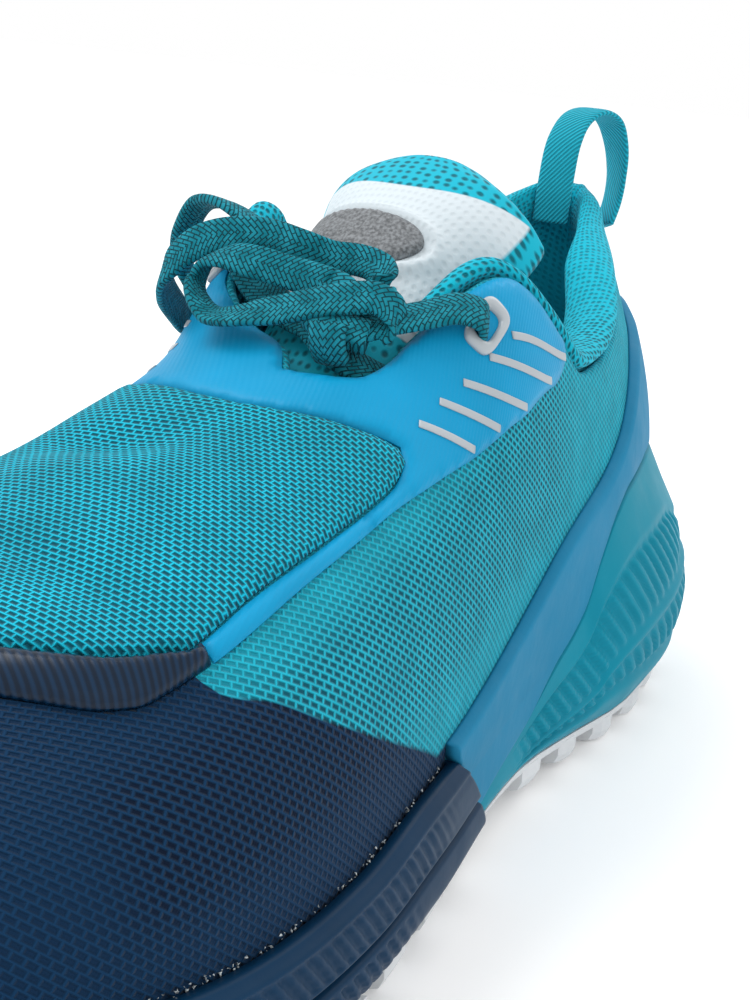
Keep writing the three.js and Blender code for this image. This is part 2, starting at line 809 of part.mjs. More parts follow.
function makeBand() {
  const all = [...bandColumns.map((t) => turns - t).reverse().slice(0, -1), ...bandColumns];
  const rings = all.map((u) => {
    const low = heelRim(station(u)) * rimHeel + gap;
    const top = bandTop(station(u)) * rimHeel;
    const bedHeight = skin(u, 0).z;
    const zs = steps(low, top, 3);
    const outside = zs.map((z) => {
      const below = Math.max(bedHeight - z, 0);
      return flank(u, z, skirt + Math.min(below * 0.12, 1));
    });
    const inside = zs.map((z) => flank(u, z, gap + facetRoom + (z > bedHeight + 1 ? 0 : gap)));
    return [...outside, ...inside.reverse()];
  });
  return common(solidThrough(rings), endPrism(false));
}

// Padding round the collar and along the lobes, with a roll that stands above the upper's edge.
// Round the heel it thickens towards the middle of the opening.
const padRows = table(
  ['at', 'pad', 'roll', 'level'],
  [
    [0.0, 0.85, 1.00, 1],
    [2.0, 0.85, 1.00, 1],
    [3.0, 0.95, 1.00, 0.7],
    [4.0, 1.00, 1.00, 0],
    [4.6, 0.90, 0.95, 0],
    [5.5, 0.55, 0.90, 0],
    [6.0, 0.29, 0.80, 0],
    [6.8, 0.18, 0.60, 0],
  ],
);
const [padShare, rollShare, levelShare] = ['pad', 'roll', 'level'].map((name) => curve(padRows, name));
const rollOutline = table(
  ['up', 'in'],
  [[0.10, -0.04], [0.45, -0.12], [0.80, 0.02], [1.00, 0.40], [0.95, 0.80], [0.66, 1.10], [0.25, 1.20]],
);
const padTaper = 0.3;
const openingMiddle = { x: 0.18, y: -0.06 };
const collarColumns = around.filter((t) => t < 6.8);

function inwards(u) {
  const edge = topEdge(u);
  const rim = skin(u, edge);
  const middle = new THREE.Vector3(openingMiddle.x * shoeLength, openingMiddle.y * halfWidth, rim.z);
  const level = levelShare(station(u));
  return normal(u, edge).negate().multiplyScalar(1 - level)
    .addScaledVector(middle.sub(rim).normalize(), level)
    .normalize();
}

function collarRing(u) {
  const pad = collarPad * padShare(station(u));
  const roll = collarRoll * rollShare(station(u));
  const edge = topEdge(u);
  const low = edgeAt(u, 'pad');
  const inward = inwards(u);
  const rim = skin(u, edge);
  const up = skin(u, edge + 0.01).sub(skin(u, edge - 0.01)).normalize();
  const fit = wall + gap + 3 * facetRoom;
  const against = steps(low, edge, 3).map((w) => offSkin(u, w, -fit));
  against[3].addScaledVector(up, gap + facetRoom);
  const over = rollOutline.map((row) => rim
    .clone()
    .addScaledVector(up, gap + row.up * roll)
    .addScaledVector(inward, row.in * (pad + wall)));
  const inner = steps(edge, low, 4).map((w, i) => {
    const thick = pad * mixed(1, padTaper, (i / 4) ** 2);
    return offSkin(u, w, -fit).addScaledVector(inward, thick);
  });
  return [...against, ...over, ...inner];
}

function makeCollar() {
  const all = [...collarColumns.map((t) => turns - t).reverse().slice(0, -1), ...collarColumns];
  return solidThrough(all.map(collarRing));
}

// Padded tongue: its outer face along the middle in the side view, with half width and arch
const tongueRows = table(
  ['at', 'x', 'z', 'y', 'half', 'arch', 'thick'],
  [
    [0.00, 0.600, 0.620, 0.07, 0.70, 0.30, 0.40],
    [0.18, 0.555, 0.680, 0.07, 0.76, 0.34, 0.45],
    [0.36, 0.505, 0.755, 0.06, 0.80, 0.42, 0.55],
    [0.54, 0.455, 0.862, 0.02, 0.82, 0.54, 0.80],
    [0.70, 0.412, 0.960, -0.02, 0.82, 0.58, 1.00],
    [0.84, 0.375, 1.030, -0.01, 0.92, 0.50, 1.00],
    [0.94, 0.350, 1.066, -0.02, 0.97, 0.44, 0.95],
    [0.99, 0.338, 1.080, -0.03, 0.74, 0.36, 0.70],
    [1.00, 0.335, 1.083, -0.03, 0.55, 0.26, 0.45],
  ],
);
const tongueCurve = Object.fromEntries(
  ['x', 'z', 'y', 'half', 'arch', 'thick'].map((name) => [name, curve(tongueRows, name)]),
);

function tonguePoint(s, across, depth) {
  const half = (tongueWidth / 2) * tongueCurve.half(s);
  const at = (value) => new THREE.Vector3(
    tongueCurve.x(value) * shoeLength,
    tongueCurve.y(value) * halfWidth,
    tongueCurve.z(value) * instepHeight,
  );
  const middle = at(s);
  const along = at(Math.min(s + 0.02, 1)).sub(at(Math.max(s - 0.02, 0))).setY(0).normalize();
  const out = new THREE.Vector3(along.z, 0, -along.x);
  const bend = across ** 2 * mixed(0.5, 1, across ** 2) * tongueCurve.arch(s) * (tongueWidth / 2);
  const slide = across * half;
  return middle.add(new THREE.Vector3(0, slide, 0)).addScaledVector(out, -bend - depth);
}

const tongueStations = [0, 0.12, 0.24, 0.36, 0.46, 0.56, 0.66, 0.76, 0.86, 0.93, 0.97, 0.99, 1];
function makeTongue() {
  const rings = tongueStations.map((s) => {
    const thick = tonguePad * tongueCurve.thick(s);
    const outside = steps(-1, 1, 8).map((k) => tonguePoint(s, k, thick * 0.5 * k ** 4));
    const inside = steps(1, -1, 8).map((k) => tonguePoint(s, k, thick * (1 - 0.3 * k ** 4)));
    return [...outside, ...inside];
  });
  return solidThrough(rings);
}

// Thin plaque on the tongue
const badgeRows = table(
  ['at', 'low', 'high'],
  [
    [0.640, -0.60, 0.08],
    [0.655, -0.72, 0.24],
    [0.700, -0.84, 0.38],
    [0.750, -0.86, 0.42],
    [0.790, -0.74, 0.34],
    [0.805, -0.58, 0.20],
  ],
);
function makeBadge() {
  const rings = badgeRows.map((row) => {
    const ks = steps(row.low, row.high, 6);
    const seat = -gap - facetRoom;
    const inside = ks.map((k) => tonguePoint(row.at, k, seat));
    const outside = ks.reverse().map((k) => tonguePoint(row.at, k, seat - badgeThickness));
    return [...inside, ...outside];
  });
  return solidThrough(rings);
}

// A flat ribbon along a smooth path, its width turning from one direction to another
function ribbon(points, width, thickness, across, count) {
  const path = new THREE.CatmullRomCurve3(points.map((p) => new THREE.Vector3(...p)), false, 'centripetal');
  const sides = across.map((p) => new THREE.Vector3(...p));
  const rings = steps(0, 1, count).map((t) => {
    const centre = path.getPoint(t);
    const tangent = path.getTangent(t);
    const place = Math.min(t * (sides.length - 1), sides.length - 1.001);
    const index = Math.floor(place);
    const wide = sides[index].clone().lerp(sides[index + 1], place - index);
    wide.addScaledVector(tangent, -wide.dot(tangent)).normalize();
    const flat = tangent.clone().cross(wide).normalize();
    const w = width / 2;
    const h = thickness / 2;
    const corners = [[-w, -h / 2], [-w + h, -h], [w - h, -h], [w, -h / 2], [w, h / 2], [w - h, h], [-w + h, h], [-w, h / 2]];
    return corners.map(([a, b]) => centre.clone().addScaledVector(wide, a).addScaledVector(flat, b));
  });
  return solidThrough(rings);
}

// Webbing pull loop at the back of the collar, from inside the roll to the outside of the heel
const loopFoot = { inside: [23.2, -5.6, 98], outside: [2.6, 0.5, 98] };
function makePullLoop() {
  const top = loopFoot.inside[2] + loopHeight + 4.4;
  return ribbon(
    [
      loopFoot.inside,
      [22.8, -5.6, 107],
      [20.6, -5.6, top - 7],
      [15.8, -5, top - 1.8],
      [10.8, -3, top],
      [6.0, -1, top - 1.8],
      [3.2, 0.4, top - 7],
      [1.2, 0.8, top - 14],
      [1.0, 0.7, 104],
      loopFoot.outside,
    ],
    loopWidth,
    loopThickness,
    [[-0.4, 1, 0], [-0.35, 1, 0], [0, 1, 0], [-0.3, 1, 0], [-0.2, 1, 0], [0, 1, 0]],
    18,
  );
}

// A frame of rounded rectangles on the skin: p runs along it and q up it, in millimetres
function onSkin(u, w, p, q, out) {
  const step = 0.01;
  const alongU = skin(u + step, w).distanceTo(skin(u - step, w)) / (2 * step);
  const upW = skin(u, w + step).distanceTo(skin(u, w - step)) / (2 * step);
  return offSkin(u + p / alongU, w + q / upW, out);
}

const eyeletSpots = { lateral: [6.4, 0.592], medial: [turns - 6.28, 0.585] };
const eyeletSlant = { lateral: 0.35, medial: -0.35 };
const eyeletSlot = 0.42;
function makeEyelet(side) {
  const [u, w] = eyeletSpots[side];
  const count = 20;
  const low = gap + facetRoom + filmThickness + gap;
  const rings = steps(0, 2 * Math.PI, count).slice(0, count).map((angle) => {
    const round = (value) => Math.sign(value) * Math.abs(value) ** 0.6;
    const p = round(Math.cos(angle)) * (eyeletWidth / 2);
    const q = round(Math.sin(angle)) * (eyeletLength / 2);
    const at = (share, out) => {
      const slant = -eyeletSlant[side] * q * share;
      return onSkin(u, w, p * share + slant, q * share, out);
    };
    return [at(1, low), at(0.9, low + eyeletThickness), at(0.62, low + eyeletThickness), at(eyeletSlot, low)];
  });
  return solidThrough(rings, { loop: true });
}

// Lacing: a bar between the top eyelets over the tongue, joined to a crossing in the throat
const laceRise = gap + facetRoom + filmThickness + gap + eyeletThickness + gap + laceThickness;
function makeCrossings() {
  const [lateral, medial] = ['lateral', 'medial'].map((side) => onSkin(...eyeletSpots[side], 0, 0.5, laceRise));
  const start = new THREE.Vector3(131.6, 24.2, 93.2);
  const end = new THREE.Vector3(127.6, -24.4, 97);
  const flatOn = (side, way) => normal(...eyeletSpots[side]).cross(way).normalize().toArray();
  const bar = ribbon(
    [
      [lateral.x, lateral.y, lateral.z],
      start.toArray(),
      [135.2, 20.2, 90.6],
      [139.2, 16.2, 88.8],
      [142, 11.8, 86.9],
      [139.8, 5, 85.9],
      [136.2, -4, 86.6],
      [132.4, -13, 89.4],
      [129.6, -19, 93.6],
      end.toArray(),
      [medial.x, medial.y, medial.z],
    ],
    laceWidth,
    laceThickness,
    [
      flatOn('lateral', start.clone().sub(lateral)), [0.8, 0.3, -0.5], [0.8, 0.1, -0.6], [0.8, 0, -0.6],
      [0.8, 0, -0.6], [0.7, 0, -0.7], [0.7, 0, -0.7], flatOn('medial', medial.clone().sub(end)),
    ],
    18,
  );
  const crossing = ribbon(
    [[138.6, 18, 78.6], [141.2, 13.5, 80.6], [142, 9.5, 82.2], [140.6, 5, 84.6], [139.4, 2.5, 85.9]],
    laceWidth,
    laceThickness,
    [[0.8, 0.3, -0.5], [0.8, 0.2, -0.6]],
    8,
  );
  return joined([bar, crossing]);
}

// The bow: a turn of lace over the bar, and two loops that lie over the inner side
const bow = {
  knot: [[145.9, 10.2, 82.2], [147.2, 10, 84], [147.6, 9.8, 86], [147, 9.6, 88.2]],
  outerLoop: [
    [135.7, 12, 91.8], [133.3, 11.5, 93.9], [131.2, 9, 95.9], [131, 5, 96.6], [132.6, 0.5, 96.6],
    [135.1, -4, 97.9], [135.9, -9.5, 98.8], [137.7, -15.5, 98.5], [138.4, -21, 96.8], [138.9, -25, 93.9],
    [138.4, -28.4, 90.3], [134.9, -31, 86.7], [127.4, -33.8, 82.3], [121, -35.6, 79], [116.6, -37, 79.6],
    [116.4, -37.9, 84], [120.4, -37.6, 90], [124, -35, 96], [126.8, -30, 101.4], [129.8, -22.5, 102],
    [131, -14, 98.6], [131.8, -8, 95.2],
  ],
  innerLoop: [
    [141.6, 14.2, 92.6], [143.2, 10, 91.8], [144.2, 5, 90.4], [145.2, -0.5, 88.6], [146.6, -5, 87.4],
    [146.8, -9.5, 86.2], [145.4, -14, 85.8], [143.9, -17.5, 87.6], [141, -20, 90.2], [140.9, -18.5, 93.4],
    [141.3, -14.5, 95], [140.9, -9, 94.8], [139.6, -4, 94], [139.2, 1, 93.4], [139.4, 4.6, 93],
  ],
};

function cord(points, diameter) {
  const path = new THREE.CatmullRomCurve3(points.map((p) => new THREE.Vector3(...p)), false, 'centripetal');
  const sides = 8;
  const shape = new THREE.Shape(steps(0, 2 * Math.PI, sides).slice(0, sides).map((angle) => new THREE.Vector2(
    (Math.cos(angle) * diameter) / 2,
    (Math.sin(angle) * diameter) / 2,
  )));
  const count = Math.round(path.getLength() / (2.2 * diameter));
  const tube = new THREE.ExtrudeGeometry(shape, { steps: count, extrudePath: path, bevelEnabled: false });
  return welded(tube);
}

const finish = (color, roughness, metalness = 0) => new THREE.MeshStandardMaterial({ color, roughness, metalness });
const group = new THREE.Group();
function place(name, geometry, material) {
  const mesh = new THREE.Mesh(geometry, material);
  mesh.name = name;
  mesh.position.x = -shoeLength / 2;
  group.add(mesh);
}

place('outsole', makeOutsole(), finish(0xe6e9ea, 0.6));
place('midsole_heel', makeHeelMidsole(), finish(0x1aa5b8, 0.6));
place('midsole_forefoot', makeForeMidsole(), finish(0x1e3a5c, 0.6));
place('upper', makeUpper(), finish(0x1aa0b0, 0.8));
place('insole', makeInsole(), finish(0x2a6f86, 0.9));
place('tongue', makeTongue(), finish(0xeef2f5, 0.7));
place('tongue_badge', makeBadge(), finish(0x8d9396, 0.5));
place('vamp_film', makeFilm(), finish(0x1a9cc8, 0.45));
place('vamp_window', makeWindow(), finish(0x18b0ae, 0.8));
place('vamp_front_band', makeFrontBand(), finish(0x16304f, 0.35));
place('heel_band', makeBand(), finish(0x3f8fbf, 0.6));
place('collar', makeCollar(), finish(0x1590a6, 0.9));
place('pull_loop', makePullLoop(), finish(0x1590a6, 0.8));
place('eyelet_lateral', makeEyelet('lateral'), finish(0xc9cfd2, 0.3));
place('eyelet_medial', makeEyelet('medial'), finish(0xc9cfd2, 0.3));
place('lace_crossings', makeCrossings(), finish(0x0e7080, 0.8));
place('lace_knot', ribbon(bow.knot, laceWidth, laceThickness, [[0, 1, 0], [0, 1, 0]], 6), finish(0x0e7080, 0.8));
place('lace_loop_outer', cord(bow.outerLoop, 2 * laceThickness), finish(0x0e7080, 0.8));
place('lace_loop_inner', cord(bow.innerLoop, 2 * laceThickness), finish(0x0e7080, 0.8));

export default group;
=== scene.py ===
# A left trail running shoe: its finish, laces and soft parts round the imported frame.
# Lengths in the shapes below are millimetres from the heel; a piece is stored in metres in the
# frame's own axes: +X to the toe, +Y to the outer side, +Z up.
import math
import random
from operator import itemgetter

import bmesh
import bpy
import numpy as np
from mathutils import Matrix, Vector
from mathutils.geometry import delaunay_2d_cdt


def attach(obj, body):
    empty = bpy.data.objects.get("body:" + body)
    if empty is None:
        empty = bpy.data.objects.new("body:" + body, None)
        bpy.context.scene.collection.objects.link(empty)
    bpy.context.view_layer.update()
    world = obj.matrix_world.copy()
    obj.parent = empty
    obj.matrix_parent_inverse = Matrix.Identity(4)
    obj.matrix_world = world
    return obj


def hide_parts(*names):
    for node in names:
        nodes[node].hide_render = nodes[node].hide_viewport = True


bl_info = {
    "name": "Trail Running Shoe",
    "version": (1, 0, 0),
    "blender": (4, 5, 0),
    "location": "View3D > Sidebar > Shoe",
    "description": "Builds the finish, laces and soft parts of a trail running shoe",
    "category": "Add Mesh",
}

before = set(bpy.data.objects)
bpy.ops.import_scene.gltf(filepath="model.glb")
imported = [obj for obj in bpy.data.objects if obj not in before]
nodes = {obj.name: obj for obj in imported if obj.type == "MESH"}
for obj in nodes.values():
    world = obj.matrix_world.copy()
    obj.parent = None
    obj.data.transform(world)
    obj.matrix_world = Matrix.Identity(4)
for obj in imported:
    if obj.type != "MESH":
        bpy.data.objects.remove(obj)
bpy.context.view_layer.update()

MM = 0.001
STATIONS = 14
TURNS = 2 * STATIONS
THROAT = 7.38


def length(name, text, value):
    return bpy.props.FloatProperty(
        name=name, description=text, default=value * MM, unit="LENGTH", precision=4
    )


def colour(name, text, value):
    return bpy.props.FloatVectorProperty(
        name=name, description=text, default=value, size=3, min=0, max=1, subtype="COLOR"
    )


class ShoeSizes(bpy.types.PropertyGroup):
    shoe_length: length("Shoe length", "Heel to toe, over the sole", 282)
    ball_width: length("Ball width", "Width across the ball of the foot", 104)
    instep: length("Instep height", "Height that the last's shares follow", 104)
    wall: length("Wall", "Thickness of the upper's mesh", 2)
    film: length("Film", "Thickness of the vamp film", 0.9)
    lace_width: length("Lace width", "Width of the flat lace", 6.4)
    lace_thickness: length("Lace thickness", "Thickness of the flat lace", 1.8)
    knit_pitch: length("Mesh pitch", "Distance between two holes of the side mesh", 1.6)
    window_pitch: length("Window pitch", "Distance between two holes of the vamp mesh", 1.5)


class ShoeColours(bpy.types.PropertyGroup):
    teal: colour("Teal mesh", "Bright thread of the side mesh", (0.014, 0.42, 0.56))
    teal_deep: colour("Deep teal", "Holes of the side mesh", (0.001, 0.070, 0.105))
    turquoise: colour("Turquoise mesh", "Thread of the vamp mesh", (0.008, 0.54, 0.74))
    navy: colour("Navy mesh", "Thread of the toe mesh", (0.004, 0.032, 0.085))
    navy_deep: colour("Deep navy", "Holes of the toe mesh", (0.001, 0.006, 0.020))
    film: colour("Film", "Smooth vamp film", (0.003, 0.305, 0.570))
    band: colour("Heel band", "Moulded stabilizer", (0.014, 0.205, 0.37))
    foam: colour("Heel foam", "Heel part of the sole", (0.003, 0.235, 0.335))
    navy_foam: colour("Forefoot foam", "Front part of the sole", (0.003, 0.031, 0.078))
    lace: colour("Lace", "Braided lace", (0.002, 0.155, 0.205))
    knit: colour("Collar knit", "Padded collar", (0.006, 0.42, 0.56))
    white: colour("White film", "Tongue film", (0.61, 0.68, 0.72))
    grey: colour("Badge", "Grained plaque", (0.17, 0.18, 0.19))
    silver: colour("Silver", "Printed bars and eyelets", (0.42, 0.46, 0.49))
    tread: colour("Tread", "Rubber of the lugs", (0.66, 0.68, 0.70))


def sizes():
    return bpy.context.scene.trail_shoe_sizes


def colours():
    return bpy.context.scene.trail_shoe_colours


# Curves through short tables


def curve(rows, column, at=0):
    """A smooth curve without overshoot through one column of a table, against its column at."""
    x = np.array([row[at] for row in rows], float)
    y = np.array([row[column] for row in rows], float)
    slope = np.diff(y) / np.diff(x)
    tangent = np.concatenate([slope[:1], np.zeros(len(x) - 2), slope[-1:]])
    product = slope[:-1] * slope[1:]
    total = np.where(product > 0, slope[:-1] + slope[1:], 1)
    tangent[1:-1] = np.where(product > 0, 2 * product / total, 0)

    def value(t):
        t = np.clip(np.asarray(t, float), x[0], x[-1])
        i = np.clip(np.searchsorted(x, t, side="right") - 1, 0, len(x) - 2)
        h = x[i + 1] - x[i]
        s = (t - x[i]) / h
        rise = y[i] * (1 + 2 * s) + tangent[i] * h * s
        fall = y[i + 1] * (3 - 2 * s) + tangent[i + 1] * h * (s - 1)
        return rise * (1 - s) ** 2 + fall * s**2

    return value


def unit(v):
    return v / np.maximum(np.linalg.norm(v, axis=-1, keepdims=True), 1e-12)


def mixed(a, b, s):
    return a + (b - a) * s


def smooth(low, high, value):
    s = np.clip((np.asarray(value, float) - low) / (high - low), 0, 1)
    return s * s * (3 - 2 * s)


def hump(value, centre, width):
    return np.exp(-(((np.asarray(value, float) - centre) / width) ** 2))


# The last: outer and inner feather line, ridge, fullness, turn and shoulder drop at each station
LAST = [
    [0.034, 0.000, 0.034, 0.000, 0.024, -0.070, 1.105, 0.170, 0.31, -0.077, 0.240, -0.077, 0.240],
    [0.041, 0.250, 0.041, 0.250, 0.043, -0.085, 1.135, 0.105, 0.30, 0.20, 0.250, 0.30, 0.250],
    [0.074, 0.440, 0.074, 0.430, 0.085, -0.090, 1.155, 0.075, 0.32, 0.30, 0.240, 0.43, 0.240],
    [0.138, 0.560, 0.138, 0.540, 0.149, -0.070, 1.165, 0.045, 0.33, 0.46, 0.220, 0.54, 0.220],
    [0.220, 0.635, 0.220, 0.590, 0.234, -0.020, 1.165, 0.040, 0.37, 0.55, 0.165, 0.58, 0.165],
    [0.312, 0.660, 0.312, 0.560, 0.320, 0.030, 1.125, 0.055, 0.47, 0.53, 0.050, 0.58, 0.040],
    [0.408, 0.690, 0.408, 0.565, 0.408, 0.080, 1.030, 0.100, 0.72, 0.42, 0.040, 0.76, -0.030],
    [0.504, 0.760, 0.504, 0.615, 0.500, 0.110, 0.817, 0.100, 0.78, 0.37, 0, 0.62, 0],
    [0.596, 0.835, 0.603, 0.730, 0.585, 0.060, 0.707, 0.090, 0.80, 0.40, 0, 0.58, 0],
    [0.681, 0.885, 0.695, 0.845, 0.663, 0.000, 0.635, 0.090, 0.81, 0.44, 0, 0.54, 0],
    [0.759, 0.875, 0.780, 0.885, 0.734, -0.060, 0.572, 0.090, 0.82, 0.46, 0, 0.48, 0],
    [0.830, 0.790, 0.857, 0.800, 0.790, -0.110, 0.520, 0.080, 0.82, 0.40, 0, 0.40, 0],
    [0.897, 0.600, 0.920, 0.620, 0.835, -0.150, 0.476, 0.060, 0.82, 0.33, 0, 0.33, 0],
    [0.949, 0.290, 0.962, 0.410, 0.862, -0.170, 0.447, 0.040, 0.80, 0.29, 0, 0.29, 0],
    [0.978, -0.155, 0.978, 0.155, 0.878, -0.170, 0.433, 0.030, 0.80, 0.33, 0, 0.33, 0],
]
# Share of the length, tread's underside, bed
SOLE = [
    [0.00, 0.80, 1.00], [0.04, 0.30, 1.00], [0.10, 0.00, 1.00], [0.22, 0.00, 0.99],
    [0.41, 0.55, 0.70], [0.50, 0.50, 0.40], [0.60, 0.00, 0.14], [0.76, 0.00, 0.00],
    [0.83, 0.25, 0.10], [0.90, 1.05, 0.40], [0.96, 2.00, 0.85], [1.00, 2.90, 1.20],
]
# Room between curved pieces, room for their flat facets, and how far a cover stands off the mesh
GAP = 0.35
FACET_ROOM = 0.25
SEAT = 0.2
# The tread's lugs and plate, the foam's height at heel and ball, the rims' heights, the heel band
LUG = 4
PLATE = 2
HEEL_STACK = 24
BALL_STACK = 17.5
RIM_HEEL = 51
RIM_BALL = 23
BAND = 1.7
under_curve = curve(SOLE, 1)
bed_curve = curve(SOLE, 2)


def shoe_length():
    return sizes().shoe_length / MM


def half_width():
    return sizes().ball_width / MM / 2


def bed(x):
    return BALL_STACK + (HEEL_STACK - BALL_STACK) * bed_curve(np.asarray(x) / shoe_length())


def plate_top(x):
    return LUG * under_curve(np.asarray(x) / shoe_length()) + LUG + PLATE


def side_row(index):
    at = index if index <= STATIONS else TURNS - index
    row = LAST[at]
    outer = index <= STATIONS
    x = row[0 if outer else 2] * shoe_length()
    y = (row[1] if outer else -row[3]) * half_width()
    return row, x, y, at


def section_handles():
    high = sizes().instep / MM
    found = []
    for index in range(TURNS):
        row, x, y, at = side_row(index)
        _, bx, by, _ = side_row((index - 1) % TURNS)
        _, ax, ay, _ = side_row((index + 1) % TURNS)
        out = unit(np.array([by - ay, ax - bx]))
        foot = np.array([x, y, bed(x) + GAP])
        ridge = np.array([row[4] * shoe_length(), row[5] * half_width(), row[6] * high])
        bulge = row[7] * half_width()
        wall = np.array([x + out[0] * bulge, y + out[1] * bulge, mixed(foot[2], ridge[2], row[8])])
        outer = index <= STATIONS
        away = unit(foot[:2] - ridge[:2]) * row[9 if outer else 11] * half_width()
        drop = row[10 if outer else 12] * high
        near, far = LAST[max(at - 1, 0)], LAST[min(at + 1, STATIONS)]
        fall = (far[6] - near[6]) * high / ((far[4] - near[4]) * shoe_length())
        lean = fall * away[0] if at > STATIONS / 2 else 0
        shoulder = np.array([ridge[0] + away[0], ridge[1] + away[1], ridge[2] + lean - drop])
        found.append([foot, wall, shoulder, ridge])
    return np.array(found)


SECTIONS = []


def skin(u, w):
    """The outside of the upper: u runs round the feather line, w from there (0) to the ridge (1)."""
    if not len(SECTIONS):
        SECTIONS.extend(section_handles())
    table = np.array(SECTIONS)
    u, w = np.broadcast_arrays(np.asarray(u, float) % TURNS, np.asarray(w, float))
    i = np.floor(u).astype(int)
    s = (u - i)[..., None, None]
    a, b, c, d = [table[(i + step) % TURNS] for step in (-1, 0, 1, 2)]
    square = (2 * a - 5 * b + 4 * c - d) * s**2
    cube = (3 * b - a - 3 * c + d) * s**3
    h = 0.5 * (2 * b + (c - a) * s + square + cube)
    v = 1 - w
    weights = np.stack([v**3, 3 * v * v * w, 3 * v * w * w, w**3], -1)
    return (h * weights[..., None]).sum(-2)


def side_normal(u, w):
    step = 0.01
    along = skin(u + step, w) - skin(u - step, w)
    up = skin(u, np.minimum(w + step, 1)) - skin(u, np.maximum(w - step, 0))
    return -unit(np.cross(along, up))


def normal(u, w):
    u, w = np.broadcast_arrays(np.asarray(u, float), np.asarray(w, float))
    own = side_normal(u, w)
    both = unit(own + side_normal(TURNS - u, w))
    share = smooth(0.97, 1.0, w)[..., None]
    return unit(mixed(own, both, share))


def off_skin(u, w, out):
    return skin(u, w) + normal(u, w) * np.asarray(out, float)[..., None]


def station(u):
    u = np.asarray(u, float) % TURNS
    return np.minimum(u, TURNS - u)


# Upper edge and padding of the collar, lobes and throat, on the outer and on the inner side
OUTER_EDGE = [
    [0.0, 0.840, 0.46], [1.0, 0.790, 0.44], [2.0, 0.710, 0.40], [3.0, 0.630, 0.33],
    [4.0, 0.510, 0.26], [4.6, 0.450, 0.24], [5.0, 0.430, 0.24], [5.5, 0.500, 0.36],
    [6.0, 0.650, 0.55], [6.5, 0.730, 0.64], [6.85, 0.780, 0.70], [7.0, 0.790, 0.71],
    [7.2, 0.820, 0.74], [7.3, 0.880, 0.80], [7.38, 1.000, 0.90],
]
INNER_EDGE = [
    [0.0, 0.840, 0.46], [1.0, 0.820, 0.44], [2.0, 0.760, 0.40], [3.0, 0.670, 0.33],
    [4.0, 0.530, 0.26], [4.6, 0.455, 0.24], [5.0, 0.430, 0.24], [5.5, 0.480, 0.34],
    [6.0, 0.620, 0.52], [6.5, 0.660, 0.57], [6.75, 0.740, 0.65], [7.0, 0.860, 0.76],
    [7.15, 0.950, 0.85], [7.38, 1.000, 0.90],
]
TOPS = [curve(OUTER_EDGE, 1), curve(INNER_EDGE, 1)]
PADS = [curve(OUTER_EDGE, 2), curve(INNER_EDGE, 2)]


def edge_at(u, pair):
    t = station(u)
    return np.where(np.asarray(u) % TURNS <= STATIONS, pair[0](t), pair[1](t))


def top_edge(u):
    return np.where(station(u) < THROAT - 1e-6, edge_at(u, TOPS), 1.0)


def outline_normal(u):
    step = 0.02
    along = skin(u + step, 0) - skin(u - step, 0)
    flat = np.stack([-along[..., 1], along[..., 0], np.zeros(along.shape[:-1])], -1)
    return unit(flat)


def flank(u, z, out):
    """The side by height: on the last above the bed, straight below it, and out from there."""
    u, z, out = np.broadcast_arrays(np.asarray(u, float), np.asarray(z, float), np.asarray(out, float))
    low = np.zeros(u.shape)
    high = np.full(u.shape, 0.9)
    for _ in range(24):
        middle = (low + high) / 2
        below = skin(u, middle)[..., 2] < z
        low = np.where(below, middle, low)
        high = np.where(below, high, middle)
    point = skin(u, np.where(z <= skin(u, 0)[..., 2], 0, low)).copy()
    point[..., 2] = z
    return point + outline_normal(u) * out[..., None]


# Meshes


def store(
    name, points, faces, slot, finish, weave=None, masks=None, replaces=(), smooth_shade=True
):
    """One piece of the shoe from points in millimetres, with what its finish reads from the mesh."""
    points = np.asarray(points, float).copy()
    points[:, 0] -= shoe_length() / 2
    mesh = bpy.data.meshes.new(name)
    mesh.from_pydata((points * MM).tolist(), [], [list(map(int, face)) for face in faces])
    mesh.validate()
    if weave is not None:
        layer = mesh.attributes.new("weave", "FLOAT_VECTOR", "POINT")
        layer.data.foreach_set("vector", np.asarray(weave, np.float32).ravel())
    for key, values in (masks or {}).items():
        layer = mesh.attributes.new(key, "FLOAT", "POINT")
        layer.data.foreach_set("value", np.asarray(values, np.float32).ravel())
    mesh.polygons.foreach_set("use_smooth", [smooth_shade] * len(mesh.polygons))
    mesh.materials.append(finish)
    piece = bpy.data.objects.new(name, mesh)
    bpy.context.scene.collection.objects.link(piece)
    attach(piece, "root")
    if replaces:
        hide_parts(*replaces)
    return piece


def tidy_normals(piece, merge=0.00002):
    """Merges what lies together and turns all faces outwards."""
    work = bmesh.new()
    work.from_mesh(piece.data)
    bmesh.ops.remove_doubles(work, verts=work.verts, dist=merge)
    bmesh.ops.recalc_face_normals(work, faces=work.faces)
    work.to_mesh(piece.data)
    work.free()
    return piece


def ring_faces(count, size, loop=False, caps=True):
    """Faces through rings of equal size. End rings are closed from their first half to their second."""
    faces = []
    spans = count if loop else count - 1
    for i in range(spans):
        a, b = i * size, ((i + 1) % count) * size
        faces += [(a + k, b + k, b + (k + 1) % size, a + (k + 1) % size) for k in range(size)]
    if not loop and caps:
        for start in (0, (count - 1) * size):
            for k in range(size // 2 - 1):
                m = size - 1 - k
                faces.append((start + k, start + k + 1, start + m - 1, start + m))
    return faces


def arc_lengths(points, axis):
    """Distance run along a grid of points, from its first row."""
    gap = np.linalg.norm(np.diff(points, axis=axis), axis=-1)
    start = np.zeros_like(np.take(gap, [0], axis=axis))
    return np.concatenate([start, np.cumsum(gap, axis=axis)], axis=axis)


